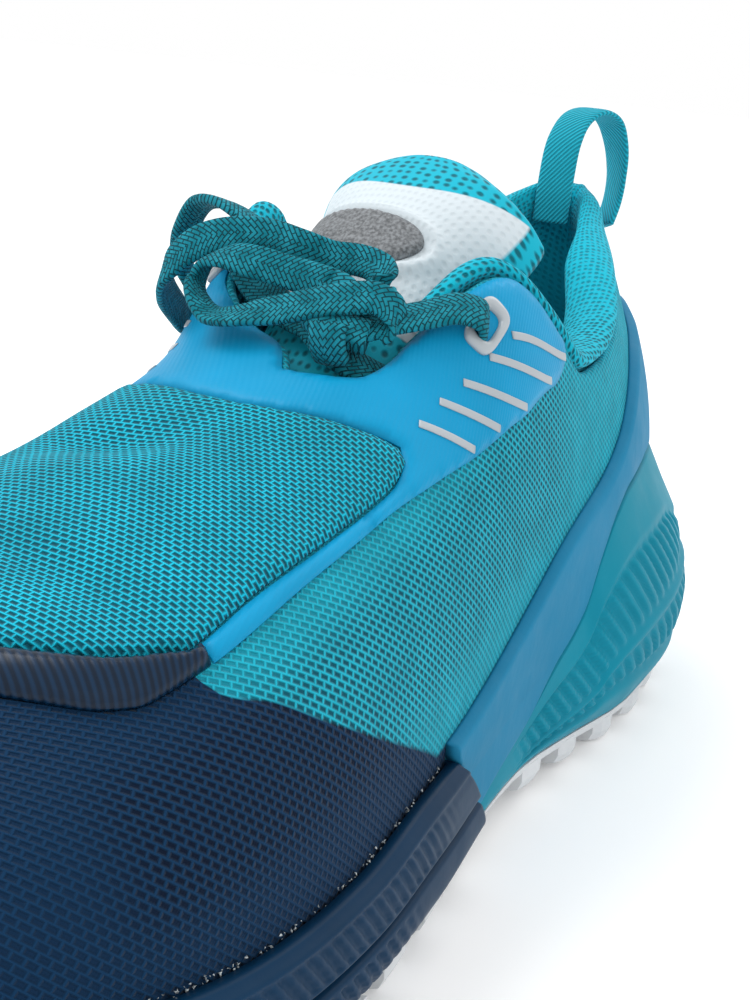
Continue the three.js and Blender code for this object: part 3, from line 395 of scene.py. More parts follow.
def weave_on_last(u, w):
    """Threads' coordinates on the last, in millimetres round it and up it."""
    us = np.linspace(0, TURNS, 1401)
    run = arc_lengths(skin(us, 0.45), 0)
    along = np.interp(np.asarray(u) % TURNS, us, run)
    level = np.linspace(0, 1, 41)
    grid = arc_lengths(skin(np.linspace(0, STATIONS, 57)[:, None], level[None, :]), 1)
    i = np.clip(station(u) / STATIONS * 56, 0, 55.999)
    k = np.clip(np.asarray(w) * 40, 0, 39.999)
    i0, k0 = i.astype(int), k.astype(int)
    near = mixed(grid[i0, k0], grid[i0, k0 + 1], k - k0)
    far = mixed(grid[i0 + 1, k0], grid[i0 + 1, k0 + 1], k - k0)
    return np.stack([along, mixed(near, far, i - i0), np.zeros_like(along)], -1)


# A flat panel is drawn as outlines in a plane of its own, filled with small triangles and then
# laid on the shoe by a function. Its rim is rounded.


def inside_loops(points, loops):
    """Whether each point lies inside an odd number of the loops."""
    found = np.zeros(len(points), bool)
    for loop in loops:
        ring = np.asarray(loop)
        after = np.roll(ring, -1, 0)
        for (x0, y0), (x1, y1) in zip(ring, after):
            if y0 == y1:
                continue
            crosses = (y0 > points[:, 1]) != (y1 > points[:, 1])
            at = x0 + (points[:, 1] - y0) * (x1 - x0) / (y1 - y0)
            found ^= crosses & (points[:, 0] < at)
    return found


def rim_distance(points, loops):
    best = np.full(len(points), 1e9)
    for loop in loops:
        ring = np.asarray(loop)
        after = np.roll(ring, -1, 0)
        for a, b in zip(ring, after):
            line = b - a
            size = max(float(line @ line), 1e-12)
            s = np.clip((points - a) @ line / size, 0, 1)
            best = np.minimum(best, np.linalg.norm(points - a - s[:, None] * line, axis=1))
    return best


def spread(loop, step):
    """Points along a closed outline, no further apart than a step."""
    ring = np.asarray(loop, float)
    found = []
    for a, b in zip(ring, np.roll(ring, -1, 0)):
        count = max(1, int(math.ceil(np.linalg.norm(b - a) / step)))
        found += [a + (b - a) * i / count for i in range(count)]
    return np.array(found)


def fill(loops, step):
    """Triangles over the outlines. Returns the points, the faces and the rim's edges."""
    loops = [spread(loop, step) for loop in loops]
    every = np.concatenate(loops)
    edges, start = [], 0
    for loop in loops:
        count = len(loop)
        edges += [(start + i, start + (i + 1) % count) for i in range(count)]
        start += count
    low, high = every.min(0), every.max(0)
    xs = np.arange(low[0], high[0], step)
    ys = np.arange(low[1], high[1], step * 0.87)
    grid = np.array([(x + (step / 2 if j % 2 else 0), y) for j, y in enumerate(ys) for x in xs])
    grid = grid[inside_loops(grid, loops)]
    grid = grid[rim_distance(grid, loops) > step * 0.45]
    points = [Vector(p) for p in np.concatenate([every, grid])]
    made = delaunay_2d_cdt(points, edges, [], 0, 1e-5)
    flat = np.array([tuple(p) for p in made[0]])
    faces = np.array([list(face) for face in made[2]])
    faces = faces[inside_loops(flat[faces].mean(1), loops)]
    return flat, faces, loops


def panel(name, loops, step, lay, thickness, slot, finish, rim=1.0, **more):
    """A panel of even thickness from outlines: lay puts plane points and an offset on the shoe."""
    flat, faces, loops = fill(loops, step)
    near = rim_distance(flat, loops)
    round_off = np.sqrt(np.clip(1 - (1 - np.clip(near / rim, 0, 1)) ** 2, 0, 1))
    outer = lay(flat, thickness * mixed(0.35, 1, round_off))
    inner = lay(flat, np.zeros(len(flat)))
    count = len(flat)
    pairs = {}
    for a, b, c in faces:
        for edge in ((a, b), (b, c), (c, a)):
            pairs[edge] = pairs.get(edge, 0) + 1
    rim_edges = [edge for edge in pairs if (edge[1], edge[0]) not in pairs]
    back = [(c + count, b + count, a + count) for a, b, c in faces]
    wall = [(b, a, a + count, b + count) for a, b in rim_edges]
    weave = more.pop("weave", None)
    masks = more.pop("masks", None)
    weave = None if weave is None else np.tile(weave(flat), (2, 1))
    masks = {key: np.tile(values(flat, near), 2) for key, values in (masks or {}).items()}
    piece = store(
        name, np.concatenate([outer, inner]), list(map(tuple, faces)) + back + wall,
        slot, finish, weave=weave, masks=masks, **more,
    )
    return tidy_normals(piece)


# A plane over the vamp: along it by stations, and across it from the ridge, less than 0 on the outer side
STATION_MM = 20.0
RISE_MM = 62.0


def vamp_plane(t, w, side=1):
    return [t * STATION_MM, -side * (1 - w) * RISE_MM]


def vamp_uw(flat):
    t = flat[:, 0] / STATION_MM
    b = flat[:, 1] / RISE_MM
    return np.where(b <= 0, t, TURNS - t), 1 - np.abs(b)


# Height on the last by station: the film's lower line, the window's lower line and its rear edge
FILM_LOW = [
    [5.42, 0.452], [5.50, 0.430], [5.73, 0.398], [6.17, 0.388], [6.53, 0.415], [6.83, 0.445],
    [7.30, 0.488], [7.90, 0.522], [8.80, 0.535], [9.70, 0.528], [10.20, 0.530], [10.50, 0.565],
    [10.78, 0.640], [11.02, 0.720], [11.32, 0.860], [11.50, 1.000],
]
WINDOW_LOW = [
    [7.40, 0.595], [7.50, 0.575], [7.63, 0.562], [7.68, 0.560], [8.37, 0.575], [9.17, 0.585],
    [9.75, 0.576], [9.90, 0.598], [10.23, 0.655], [10.50, 0.730], [10.72, 0.800], [11.00, 0.900],
    [11.18, 1.000],
]
WINDOW_REAR = [[7.46, 0.610], [7.60, 0.720], [7.78, 0.900], [7.84, 1.000]]
film_low = curve(FILM_LOW, 1)
window_low = curve(WINDOW_LOW, 1)
EDGE_MARGIN = 0.012
SEAM = 0.006
BAND_START = 9.72
BAND_LAG = 0.03


def swell(u, w):
    """Soft hollows and swellings of the vamp as it lies empty."""
    t = station(u)
    side = np.where(np.asarray(u) % TURNS <= STATIONS, 1, -1)
    b = side * (1 - w)
    trough = -2.8 * hump(t, 8.42, 0.27) * hump(b, -0.13, 0.15)
    swelling = 1.2 * hump(t, 8.9, 0.6) * hump(b, 0.05, 0.3)
    front_dent = -1.5 * hump(t, 10.3, 0.2) * hump(b, -0.27, 0.12)
    inner_dent = -1.2 * hump(t, 9.9, 0.22) * hump(b, 0.12, 0.2)
    side_hollow = -0.9 * hump(t, 9.1, 0.35) * hump(b, -0.3, 0.1)
    return trough + swelling + front_dent + inner_dent + side_hollow


def swell_on_top(u, w):
    """The hollows and swellings, fading out down the sides."""
    return swell(u, w) * smooth(0.5, 0.62, w)


def on_vamp(base, relief=None):
    """Lays panel points on the last at an offset, with the vamp's own hollows."""

    def lay(flat, out):
        u, w = vamp_uw(flat)
        extra = 0 if relief is None else relief(flat)
        return off_skin(u, w, base + out + extra + swell_on_top(u, w))

    return lay


def vamp_weave(flat):
    """Threads' coordinates of the vamp: along the ridge, and from the ridge down to either side."""
    u, w = vamp_uw(flat)
    ridge = skin(np.linspace(5, STATIONS, 181), 1)
    along = np.interp(skin(u, w)[:, 0], ridge[:, 0], arc_lengths(ridge, 0))
    drop = weave_on_last(u, np.ones_like(w))[:, 1] - weave_on_last(u, w)[:, 1]
    return np.stack([along, -np.sign(flat[:, 1]) * drop, np.zeros(len(flat))], -1)


# Finishes

KNIT_CELL = 1.75


class Finish:
    """A material that is built from named steps."""

    def __init__(self, name, rough=0.5, **inputs):
        self.material = bpy.data.materials.new(name)
        self.material.use_nodes = True
        self.tree = self.material.node_tree
        self.shader = self.tree.nodes["Principled BSDF"]
        self.set("Roughness", rough)
        self.set("Specular IOR Level", 0.1)
        for key, value in inputs.items():
            self.set(key.replace("_", " "), value)

    def set(self, key, value):
        self.shader.inputs[key].default_value = value

    def node(self, kind, settings=None, **inputs):
        made = self.tree.nodes.new("ShaderNode" + kind)
        for key, value in (settings or {}).items():
            setattr(made, key, value)
        for key, value in inputs.items():
            numbered = key[0] == "i" and key[1:].isdigit()
            target = made.inputs[int(key[1:]) if numbered else key.replace("_", " ")]
            if isinstance(value, bpy.types.NodeSocket):
                self.tree.links.new(value, target)
            else:
                target.default_value = value
        return made

    def to(self, key, socket):
        self.tree.links.new(socket, self.shader.inputs[key])

    def attribute(self, name, output="Fac"):
        return self.node("Attribute", {"attribute_name": name}).outputs[output]

    def weave(self, scale=(1, 1, 1), turn=0.0):
        """Threads' coordinates, counted in the given pitches."""
        mapping = self.node("Mapping", {"vector_type": "POINT"}, Vector=self.attribute("weave", "Vector"))
        mapping.inputs["Scale"].default_value = scale
        mapping.inputs["Rotation"].default_value = (0, 0, turn)
        return mapping.outputs["Vector"]

    def place(self):
        return self.node("TexCoord").outputs["Object"]

    def math(self, operation, a, b=0.0, c=0.0):
        return self.node("Math", {"operation": operation}, i0=a, i1=b, i2=c).outputs[0]

    def mix(self, share, a, b):
        made = self.node("Mix", {"data_type": "RGBA"})
        for socket, value in zip((made.inputs[0], made.inputs[6], made.inputs[7]), (share, a, b)):
            if isinstance(value, bpy.types.NodeSocket):
                self.tree.links.new(value, socket)
            elif socket == made.inputs[0]:
                socket.default_value = value
            else:
                socket.default_value = (*value, 1)
        return made.outputs[2]

    def ramp(self, value, low, high, to_low=0.0, to_high=1.0):
        made = self.node("MapRange", {"clamp": True}, i0=value, i1=low, i2=high, i3=to_low, i4=to_high)
        return made.outputs[0]

    def noise(self, scale, detail=2.0, vector=None):
        vector = self.place() if vector is None else vector
        return self.node("TexNoise", None, Vector=vector, Scale=scale, Detail=detail).outputs["Fac"]

    def bump(self, height, distance, strength=1.0, under=None):
        made = self.node("Bump", None, Height=height, Distance=distance, Strength=strength)
        if under is not None:
            self.tree.links.new(under, made.inputs["Normal"])
        return made.outputs["Normal"]


def shaded(tint, share):
    """A colour made darker or lighter by a share."""
    return tuple(value * share for value in tint)


def brick(finish, pitch, high, gap, vector):
    """Staggered openings between threads: 1 on a thread, 0 in an opening."""
    made = finish.node(
        "TexBrick", {"offset": 0.5, "offset_frequency": 2, "squash": 1.0}, Vector=vector,
        Scale=1.0, Mortar_Size=gap, Mortar_Smooth=0.9, Brick_Width=pitch, Row_Height=high,
    )
    return made.outputs["Fac"]


def upper_finish():
    c = colours()
    pitch = sizes().knit_pitch / MM
    f = Finish("sport_mesh", 0.8, Sheen_Weight=0.04, Sheen_Roughness=0.4)
    thread = brick(f, pitch, pitch * 0.7, pitch * 0.27, f.weave(turn=-0.66))
    open_zone = f.attribute("open_zone")
    hole = f.math("MULTIPLY", f.math("SUBTRACT", 1.0, thread), f.ramp(open_zone, 0, 1, 0.5, 1.0))
    navy_side = f.ramp(f.attribute("navy_line"), -0.25, 0.25)
    uneven = f.noise(160, 3)
    teal = f.mix(f.ramp(uneven, 0.35, 0.7), tuple(c.teal), shaded(c.teal, 0.82))
    thread_colour = f.mix(navy_side, teal, tuple(c.navy))
    hole_colour = f.mix(navy_side, tuple(c.teal_deep), tuple(c.navy_deep))
    f.to("Base Color", f.mix(hole, thread_colour, hole_colour))
    bands = {"wave_type": "BANDS", "bands_direction": "DIAGONAL"}
    fine = f.node("TexWave", bands, Vector=f.weave(), Scale=1.1)
    under = f.bump(fine.outputs["Fac"], 0.00006, 0.4)
    f.to("Normal", f.bump(thread, 0.00035, 0.9, under))
    return f.material


def window_finish():
    c = colours()
    pitch = sizes().window_pitch / MM
    f = Finish("vamp_mesh", 0.7, Sheen_Weight=0.05, Sheen_Roughness=0.35)
    thread = brick(f, pitch, pitch * 0.62, pitch * 0.26, f.weave(turn=math.pi / 2))
    uneven = f.noise(90, 3)
    base = f.mix(f.ramp(uneven, 0.3, 0.7), tuple(c.turquoise), shaded(c.turquoise, 0.75))
    f.to("Base Color", f.mix(f.math("SUBTRACT", 1.0, thread), base, tuple(c.teal_deep)))
    f.to("Normal", f.bump(thread, 0.0005, 1.0))
    return f.material


def film_finish():
    c = colours()
    f = Finish("vamp_film", 0.46, Coat_Weight=0.05, Coat_Roughness=0.35)
    ribs = f.node(
        "TexWave", {"wave_type": "BANDS", "bands_direction": "X", "wave_profile": "SIN"},
        Vector=f.weave(turn=1.2), Scale=0.36, Distortion=0.15,
    ).outputs["Fac"]
    cloud = f.noise(45, 2)
    f.to("Base Color", f.mix(f.ramp(cloud, 0.35, 0.7), tuple(c.film), shaded(c.film, 0.86)))
    grain = f.bump(f.noise(1600, 2), 0.00005, 0.5)
    f.to("Normal", f.bump(ribs, 0.00006, 0.45, grain))
    return f.material


def moulded_finish(name, tint, rough, grain_scale, grain_depth, mottle, **inputs):
    """Foam, rubber and smooth plastic: a faint mottle, uneven gloss and a fine grain."""
    f = Finish(name, rough, **inputs)
    cloud = f.noise(35, 3)
    f.to("Base Color", f.mix(f.ramp(cloud, 0.35, 0.7), tuple(tint), shaded(tint, mottle)))
    f.to("Roughness", f.ramp(f.noise(120, 2), 0.3, 0.7, rough * 0.9, min(rough * 1.12, 1)))
    f.to("Normal", f.bump(f.noise(grain_scale, 3), grain_depth, 0.6))
    return f.material


def front_band_finish():
    c = colours()
    f = Finish("toe_band", 0.3, Coat_Weight=0.25, Coat_Roughness=0.2)
    ribs = f.node("TexWave", {"bands_direction": "X"}, Vector=f.weave(turn=0.5), Scale=0.3).outputs["Fac"]
    # Painted shade and light: the colour follows the ribs, darker navy in the grooves as painted shade and
    # lighter on the rib tops as painted highlight.
    f.to("Base Color", f.mix(f.ramp(ribs, 0.2, 0.9), shaded(c.navy, 0.3), shaded(c.navy, 0.7)))
    f.to("Normal", f.bump(ribs, 0.00014, 0.5))
    return f.material


def lace_finish():
    c = colours()
    f = Finish("lace_braid", 0.75, Sheen_Weight=0.03, Sheen_Roughness=0.4)
    split = f.node("SeparateXYZ", None, Vector=f.attribute("weave", "Vector"))
    across = f.math("ABSOLUTE", split.outputs["Y"])
    one = f.math("MULTIPLY", f.math("ADD", split.outputs["X"], across), 0.7)
    other = f.math("MULTIPLY", f.math("SUBTRACT", split.outputs["X"], across), 0.7)
    slanted = f.node("CombineXYZ", None, X=one, Y=other).outputs[0]
    between = brick(f, 1.7, 0.7, 0.13, slanted)
    bright = tuple(min(v * 1.55 + 0.01, 1) for v in c.lace)
    uneven = f.mix(f.ramp(f.noise(420, 2), 0.35, 0.65), bright, tuple(c.lace))
    f.to("Base Color", f.mix(between, uneven, shaded(c.lace, 0.4)))
    f.to("Normal", f.bump(f.math("SUBTRACT", 1.0, between), 0.00035, 1.0))
    return f.material


def cell_distance(finish, scale, randomness):
    """How far each place is from the middle of its cell, with cells counted along the weave."""
    return finish.node(
        "TexVoronoi", {"feature": "F1"}, Vector=finish.weave(scale), Scale=1.0, Randomness=randomness,
    ).outputs["Distance"]


def knit_finish():
    """Padded knit with small openings, fewer where the mask fades."""
    tint = tuple(colours().knit)
    f = Finish("collar_knit", 0.85, Sheen_Weight=0.08, Sheen_Roughness=0.4)
    cells = cell_distance(f, (1 / KNIT_CELL, 1 / KNIT_CELL * 1.3, 1), 0.25)
    hole = f.math("MULTIPLY", f.ramp(cells, 0.2, 0.42, 1.0, 0.0), f.attribute("knit"))
    f.to("Base Color", f.mix(hole, tint, shaded(tint, 0.3)))
    fuzz = f.bump(f.noise(2200, 2), 0.00008, 0.6)
    f.to("Normal", f.bump(f.math("SUBTRACT", 1.0, hole), 0.0005, 0.9, fuzz))
    return f.material


def tongue_finish():
    """White film with small dimples, painted a little darker in each dimple as shade, and a knitted border.
    """
    c = colours()
    f = Finish("tongue_cover", 0.5)
    border = f.ramp(f.attribute("border"), -0.2, 0.2)
    dimple = f.ramp(cell_distance(f, (1 / 2.0, 1 / 1.25, 1), 0.0), 0.12, 0.38)
    knit = f.ramp(cell_distance(f, (1 / 2.3, 1 / 1.8, 1), 0.25), 0.2, 0.4)
    knit_tint = f.mix(knit, shaded(c.knit, 0.3), tuple(c.knit))
    # Painted shade: the film is 7% darker in the middle of each dimple, on the same cells as the dimples'
    # bump.
    film_tint = f.mix(dimple, shaded(c.white, 0.93), tuple(c.white))
    f.to("Base Color", f.mix(border, film_tint, knit_tint))
    dimpled = f.math("MULTIPLY", dimple, f.math("SUBTRACT", 1.0, border))
    height = f.math("ADD", dimpled, f.math("MULTIPLY", knit, border))
    f.to("Normal", f.bump(height, 0.00016, 0.6))
    return f.material


def badge_finish():
    c = colours()
    f = Finish("badge_grain", 0.45)
    grain = f.noise(1500, 4)
    f.to("Base Color", f.mix(f.ramp(grain, 0.35, 0.65), shaded(c.grey, 0.6), shaded(c.grey, 1.5)))
    f.to("Normal", f.bump(grain, 0.0001, 0.7))
    return f.material


def webbing_finish():
    c = colours()
    f = Finish("loop_webbing", 0.75, Sheen_Weight=0.06)
    twill = f.node("TexWave", {"bands_direction": "X"}, Vector=f.weave(turn=0.9), Scale=0.42).outputs["Fac"]
    f.to("Base Color", f.mix(f.ramp(twill, 0.2, 0.8), shaded(c.teal, 0.55), tuple(c.teal)))
    f.to("Normal", f.bump(twill, 0.00025, 0.9))
    return f.material


# Lace routes over the tongue and the inner side
BAR = [
    (126.4, 27.0, 88.6), (128.3, 27.4, 90.6), (131.4, 24.6, 91.6), (135.2, 20.4, 90.2),
    (139.2, 16.2, 88.8), (142, 11.8, 86.9),
    (139.8, 5, 85.9), (136.2, -4, 86.6), (132.4, -13, 89.4), (129.6, -19, 93.6), (127.6, -24.4, 97),
    (124.6, -29.6, 94.2),
]
CROSSING = [(138.6, 18, 78.6), (141.2, 13.5, 80.6), (142, 9.5, 82.2), (140.6, 5, 84.6), (139.4, 2.5, 85.9)]
KNOT = [(145.9, 10.2, 82.2), (147.2, 10, 84), (147.6, 9.8, 86), (147, 9.6, 88.2)]
OUTER_LOOP = [
    (135.7, 12, 91.8), (133.3, 11.5, 93.9), (131.2, 9, 95.9), (131, 5, 96.6), (132.6, 0.5, 96.6),
    (135.1, -4, 97.9), (135.9, -9.5, 98.8), (137.7, -15.5, 98.5), (138.4, -21, 96.8), (138.9, -25, 93.9),
    (138.4, -28.4, 90.3), (134.9, -31, 86.7), (127.4, -33.8, 82.3), (121, -35.6, 79), (116.6, -37, 79.6),
    (116.4, -37.9, 84), (120.4, -37.6, 90), (124, -35, 96), (126.8, -30, 101.4), (129.8, -22.5, 102),
    (131, -14, 98.6), (131.8, -8, 95.2),
]
INNER_LOOP = [
    (141.6, 14.2, 92.6), (143.2, 10, 91.8), (144.2, 5, 90.4), (145.2, -0.5, 88.6), (146.6, -5, 87.4),
    (146.8, -9.5, 86.2), (145.4, -14, 85.8), (143.9, -17.5, 87.6), (141, -20, 90.2), (140.9, -18.5, 93.4),
    (141.3, -14.5, 95), (140.9, -9, 94.8), (139.6, -4, 94), (139.2, 1, 93.4), (139.4, 4.6, 93),
]
# Short strands that carry the loops' ends down into the knot
KNOT_STRANDS = [
    [(142.6, 11.6, 92.3), (141.5, 14.6, 92.5), (140.2, 17.0, 91.0), (139.9, 17.4, 88.4), (141.0, 15.6, 86.4)],
    [(139.3, 3.4, 93.1), (139.5, 6.2, 92.9), (140.2, 9.4, 91.2), (141.2, 12.0, 88.4)],
    [(135.0, 11.9, 92.6), (136.4, 12.6, 91.0), (138.4, 13.0, 89.6), (140.4, 12.6, 88.2)],
    [(131.7, -9.2, 95.5), (132.2, -6.0, 94.2), (133.4, -2.6, 91.6), (135.2, 0.6, 89.2), (137.0, 4.0, 87.6)],
]
KNOT_CORE = [(142.6, 14.5, 86.2), (143.6, 11.5, 86.6), (143.8, 8, 87.2), (142.8, 4.5, 88.2)]
CORE_SIZE = (5.6, 4.6)
# The way that the lace's width points, at even steps along each route
BAR_ACROSS = [
    (0.6, 0.3, -0.7), (0.8, 0.3, -0.5), (0.8, 0.1, -0.6), (0.8, 0, -0.6), (0.7, 0, -0.7), (0.7, 0.1, -0.6),
]
CROSSING_ACROSS = [(0.8, 0.3, -0.5), (0.8, 0.2, -0.6)]
TURN_ACROSS = [(0, 1, 0), (0, 1, 0)]
CORE_ACROSS = [(0.7, 0, -0.7), (0.7, 0, -0.7)]
STRAND_ACROSS = [(0.6, 0.1, -0.8), (0.6, 0, -0.7), (0.7, 0, -0.5)]
OUTER_ACROSS = [
    (0.5, 0.2, -0.6), (0.4, -0.2, -0.8), (0.2, 0, -1), (0.3, -0.1, -0.9), (0.9, 0.3, 0.2),
    (0.9, 0.1, 0.5), (0.9, 0, 0.2), (0.6, 0.3, -0.5),
]
INNER_ACROSS = [
    (0.5, 0, -0.8), (0.6, 0, -0.8), (0.8, 0, -0.3), (0.9, 0.2, 0.2), (0.4, 0, -0.9), (0.3, 0, -0.9),
]
# The loops are drawn a little narrower than the lace, as it is when it turns
LOOP_NARROWING = 0.9
RIBBON_STEP = 0.7


def smooth_path(points, step):
    """A smooth line through the points, sampled at an even step."""
    p = np.asarray(points, float)
    p = np.vstack([2 * p[0] - p[1], p, 2 * p[-1] - p[-2]])
    found = []
    for i in range(1, len(p) - 2):
        a, b, c, d = p[i - 1 : i + 3]
        t0, t1 = 0.0, np.linalg.norm(b - a) ** 0.5
        t2 = t1 + np.linalg.norm(c - b) ** 0.5
        t3 = t2 + np.linalg.norm(d - c) ** 0.5
        for t in np.linspace(t1, t2, 24, endpoint=False):
            ab = (t1 - t) / (t1 - t0) * a + (t - t0) / (t1 - t0) * b
            bc = (t2 - t) / (t2 - t1) * b + (t - t1) / (t2 - t1) * c
            cd = (t3 - t) / (t3 - t2) * c + (t - t2) / (t3 - t2) * d
            abc = (t2 - t) / (t2 - t0) * ab + (t - t0) / (t2 - t0) * bc
            bcd = (t3 - t) / (t3 - t1) * bc + (t - t1) / (t3 - t1) * cd
            found.append((t2 - t) / (t2 - t1) * abc + (t - t1) / (t2 - t1) * bcd)
    found.append(p[-2])
    found = np.array(found)
    run = arc_lengths(found, 0)
    count = max(4, int(run[-1] / step))
    at = np.linspace(0, run[-1], count)
    return np.stack([np.interp(at, run, found[:, k]) for k in range(3)], 1), float(run[-1])


def squared(value, power):
    """A sine or cosine with fuller corners."""
    return np.sign(value) * np.abs(value) ** power


def ribbon(name, points, width, thickness, across, slot, finish, **more):
    """A flat band along a path, its width turning through the given directions."""
    path, run = smooth_path(points, RIBBON_STEP)
    tangent = unit(np.gradient(path, axis=0))
    sides = unit(np.asarray(across, float))
    place = np.linspace(0, len(sides) - 1, len(path))
    wide = np.stack([np.interp(place, range(len(sides)), sides[:, k]) for k in range(3)], 1)
    wide = unit(wide - (wide * tangent).sum(1, keepdims=True) * tangent)
    flat = unit(np.cross(tangent, wide))
    angle = np.linspace(0, 2 * math.pi, 17)[:-1]
    profile = list(zip(squared(np.cos(angle), 0.7), squared(np.sin(angle), 0.6)))
    rings, weave = [], []
    for i, centre in enumerate(path):
        for k, m in profile:
            rings.append(centre + wide[i] * k * width / 2 + flat[i] * m * thickness / 2)
            weave.append((run * i / (len(path) - 1), k * width / 2, m))
    faces = ring_faces(len(path), len(profile))
    piece = store(name, rings, faces, slot, finish, weave=weave, **more)
    tidy_normals(piece)
    return piece, path, run


class SHOE_OT_laces(bpy.types.Operator):
    """Flat lace: its bar and crossing over the tongue, the turn of the knot and the two loops"""

    bl_idname = "shoe.laces"
    bl_label = "Laces"
    bl_options = {"REGISTER", "UNDO"}

    def execute(self, context):
        finish = lace_finish()
        width = sizes().lace_width / MM
        thick = sizes().lace_thickness / MM
        whole, narrow = (width, thick), (width * LOOP_NARROWING, thick)
        self.lace("lace_bar", BAR, whole, BAR_ACROSS, "lace_crossings", finish)
        self.lace("lace_crossing", CROSSING, whole, CROSSING_ACROSS, "lace_crossings", finish)
        turn = self.lace("lace_knot_turn", KNOT, (width, 1.4 * thick), TURN_ACROSS, "lace_knot", finish)[0]
        core = self.lace("lace_knot_core", KNOT_CORE, CORE_SIZE, CORE_ACROSS, "lace_knot", finish)[0]
        for index, strand in enumerate(KNOT_STRANDS):
            self.lace(f"lace_knot_strand_{index + 1}", strand, narrow, STRAND_ACROSS, "lace_knot", finish)
        loop = self.lace("lace_loop_outer_band", OUTER_LOOP, narrow, OUTER_ACROSS, "lace_loop_outer", finish)
        loop = self.lace("lace_loop_inner_band", INNER_LOOP, narrow, INNER_ACROSS, "lace_loop_inner", finish)
        return {"FINISHED"}

    def lace(self, name, route, size, across, node, finish):
        return ribbon(name, route, *size, across, "lace_braid", finish, replaces=(node,))


CAMERA_PLACE = (0.2169, 0.1298, 0.1265)
CAMERA_TURN = (74.636, -5.818, 118.875)
CAMERA_LENS = 55.77
SENSOR_HEIGHT = 36
FLOOR_REACH = 40.0
LIGHT_TARGET = (0, 0, 0.05)
# Each light's place and size in metres, and its power in watts
LIGHTS = {
    "key": ((0.1, -0.45, 0.8), 0.45, 3.6),
    "fill": ((0.6, 0.7, 0.6), 0.9, 0.5),
    "back": ((-0.6, 0.1, 0.6), 0.5, 1.2),
}


class SHOE_OT_stage(bpy.types.Operator):
    """Plain pale floor, soft lights and the camera at the photograph's angle"""

    bl_idname = "shoe.stage"
    bl_label = "Stage and camera"
    bl_options = {"REGISTER", "UNDO"}

    def execute(self, context):
        scene = bpy.context.scene
        scene.view_settings.view_transform = "Standard"
        scene.view_settings.look = "None"
        self.camera(scene)
        self.floor(scene)
        self.lights(scene)
        return {"FINISHED"}

    def camera(self, scene):
        data = bpy.data.cameras.new("camera")
        data.sensor_fit = "VERTICAL"
        data.sensor_height = SENSOR_HEIGHT
        data.lens = CAMERA_LENS
        data.clip_start = 0.01
        camera = bpy.data.objects.new("camera", data)
        camera.location = CAMERA_PLACE
        camera.rotation_euler = [math.radians(angle) for angle in CAMERA_TURN]
        scene.collection.objects.link(camera)
        scene.camera = camera

    def floor(self, scene):
        mesh = bpy.data.meshes.new("floor")
        corners = [(-1, -1, 0), (1, -1, 0), (1, 1, 0), (-1, 1, 0)]
        mesh.from_pydata([Vector(corner) * FLOOR_REACH for corner in corners], [], [(0, 1, 2, 3)])
        floor = bpy.data.objects.new("floor", mesh)
        finish = Finish("floor_paint", 0.9)
        finish.set("Base Color", (0.97, 0.97, 0.97, 1))
        finish.set("Emission Color", (1, 1, 1, 1))
        finish.set("Emission Strength", 0.08)
        mesh.materials.append(finish.material)
        scene.collection.objects.link(floor)

    def lights(self, scene):
        world = bpy.data.worlds.new("studio")
        world.use_nodes = True
        background = world.node_tree.nodes["Background"]
        background.inputs["Color"].default_value = (1, 1, 1, 1)
        background.inputs["Strength"].default_value = 1.0
        scene.world = world
        for name, (place, size, power) in LIGHTS.items():
            data = bpy.data.lights.new(name, "AREA")
            data.size = size
            data.energy = power
            light = bpy.data.objects.new(name, data)
            light.location = place
            towards = Vector(LIGHT_TARGET) - Vector(place)
            light.rotation_euler = towards.to_track_quat("-Z", "Y").to_euler()
            scene.collection.objects.link(light)


# Height, by station, of the line where the navy toe ends
NAVY_LINE = [
    [7.70, 0.075], [8.53, 0.195], [9.13, 0.31], [9.50, 0.41], [9.80, 0.485], [9.95, 0.72],
    [10.2, 1.1], [14, 1.5],
]
navy_line = curve(NAVY_LINE, 1)
NAVY_START = 7.5
UPPER_ROWS = 64


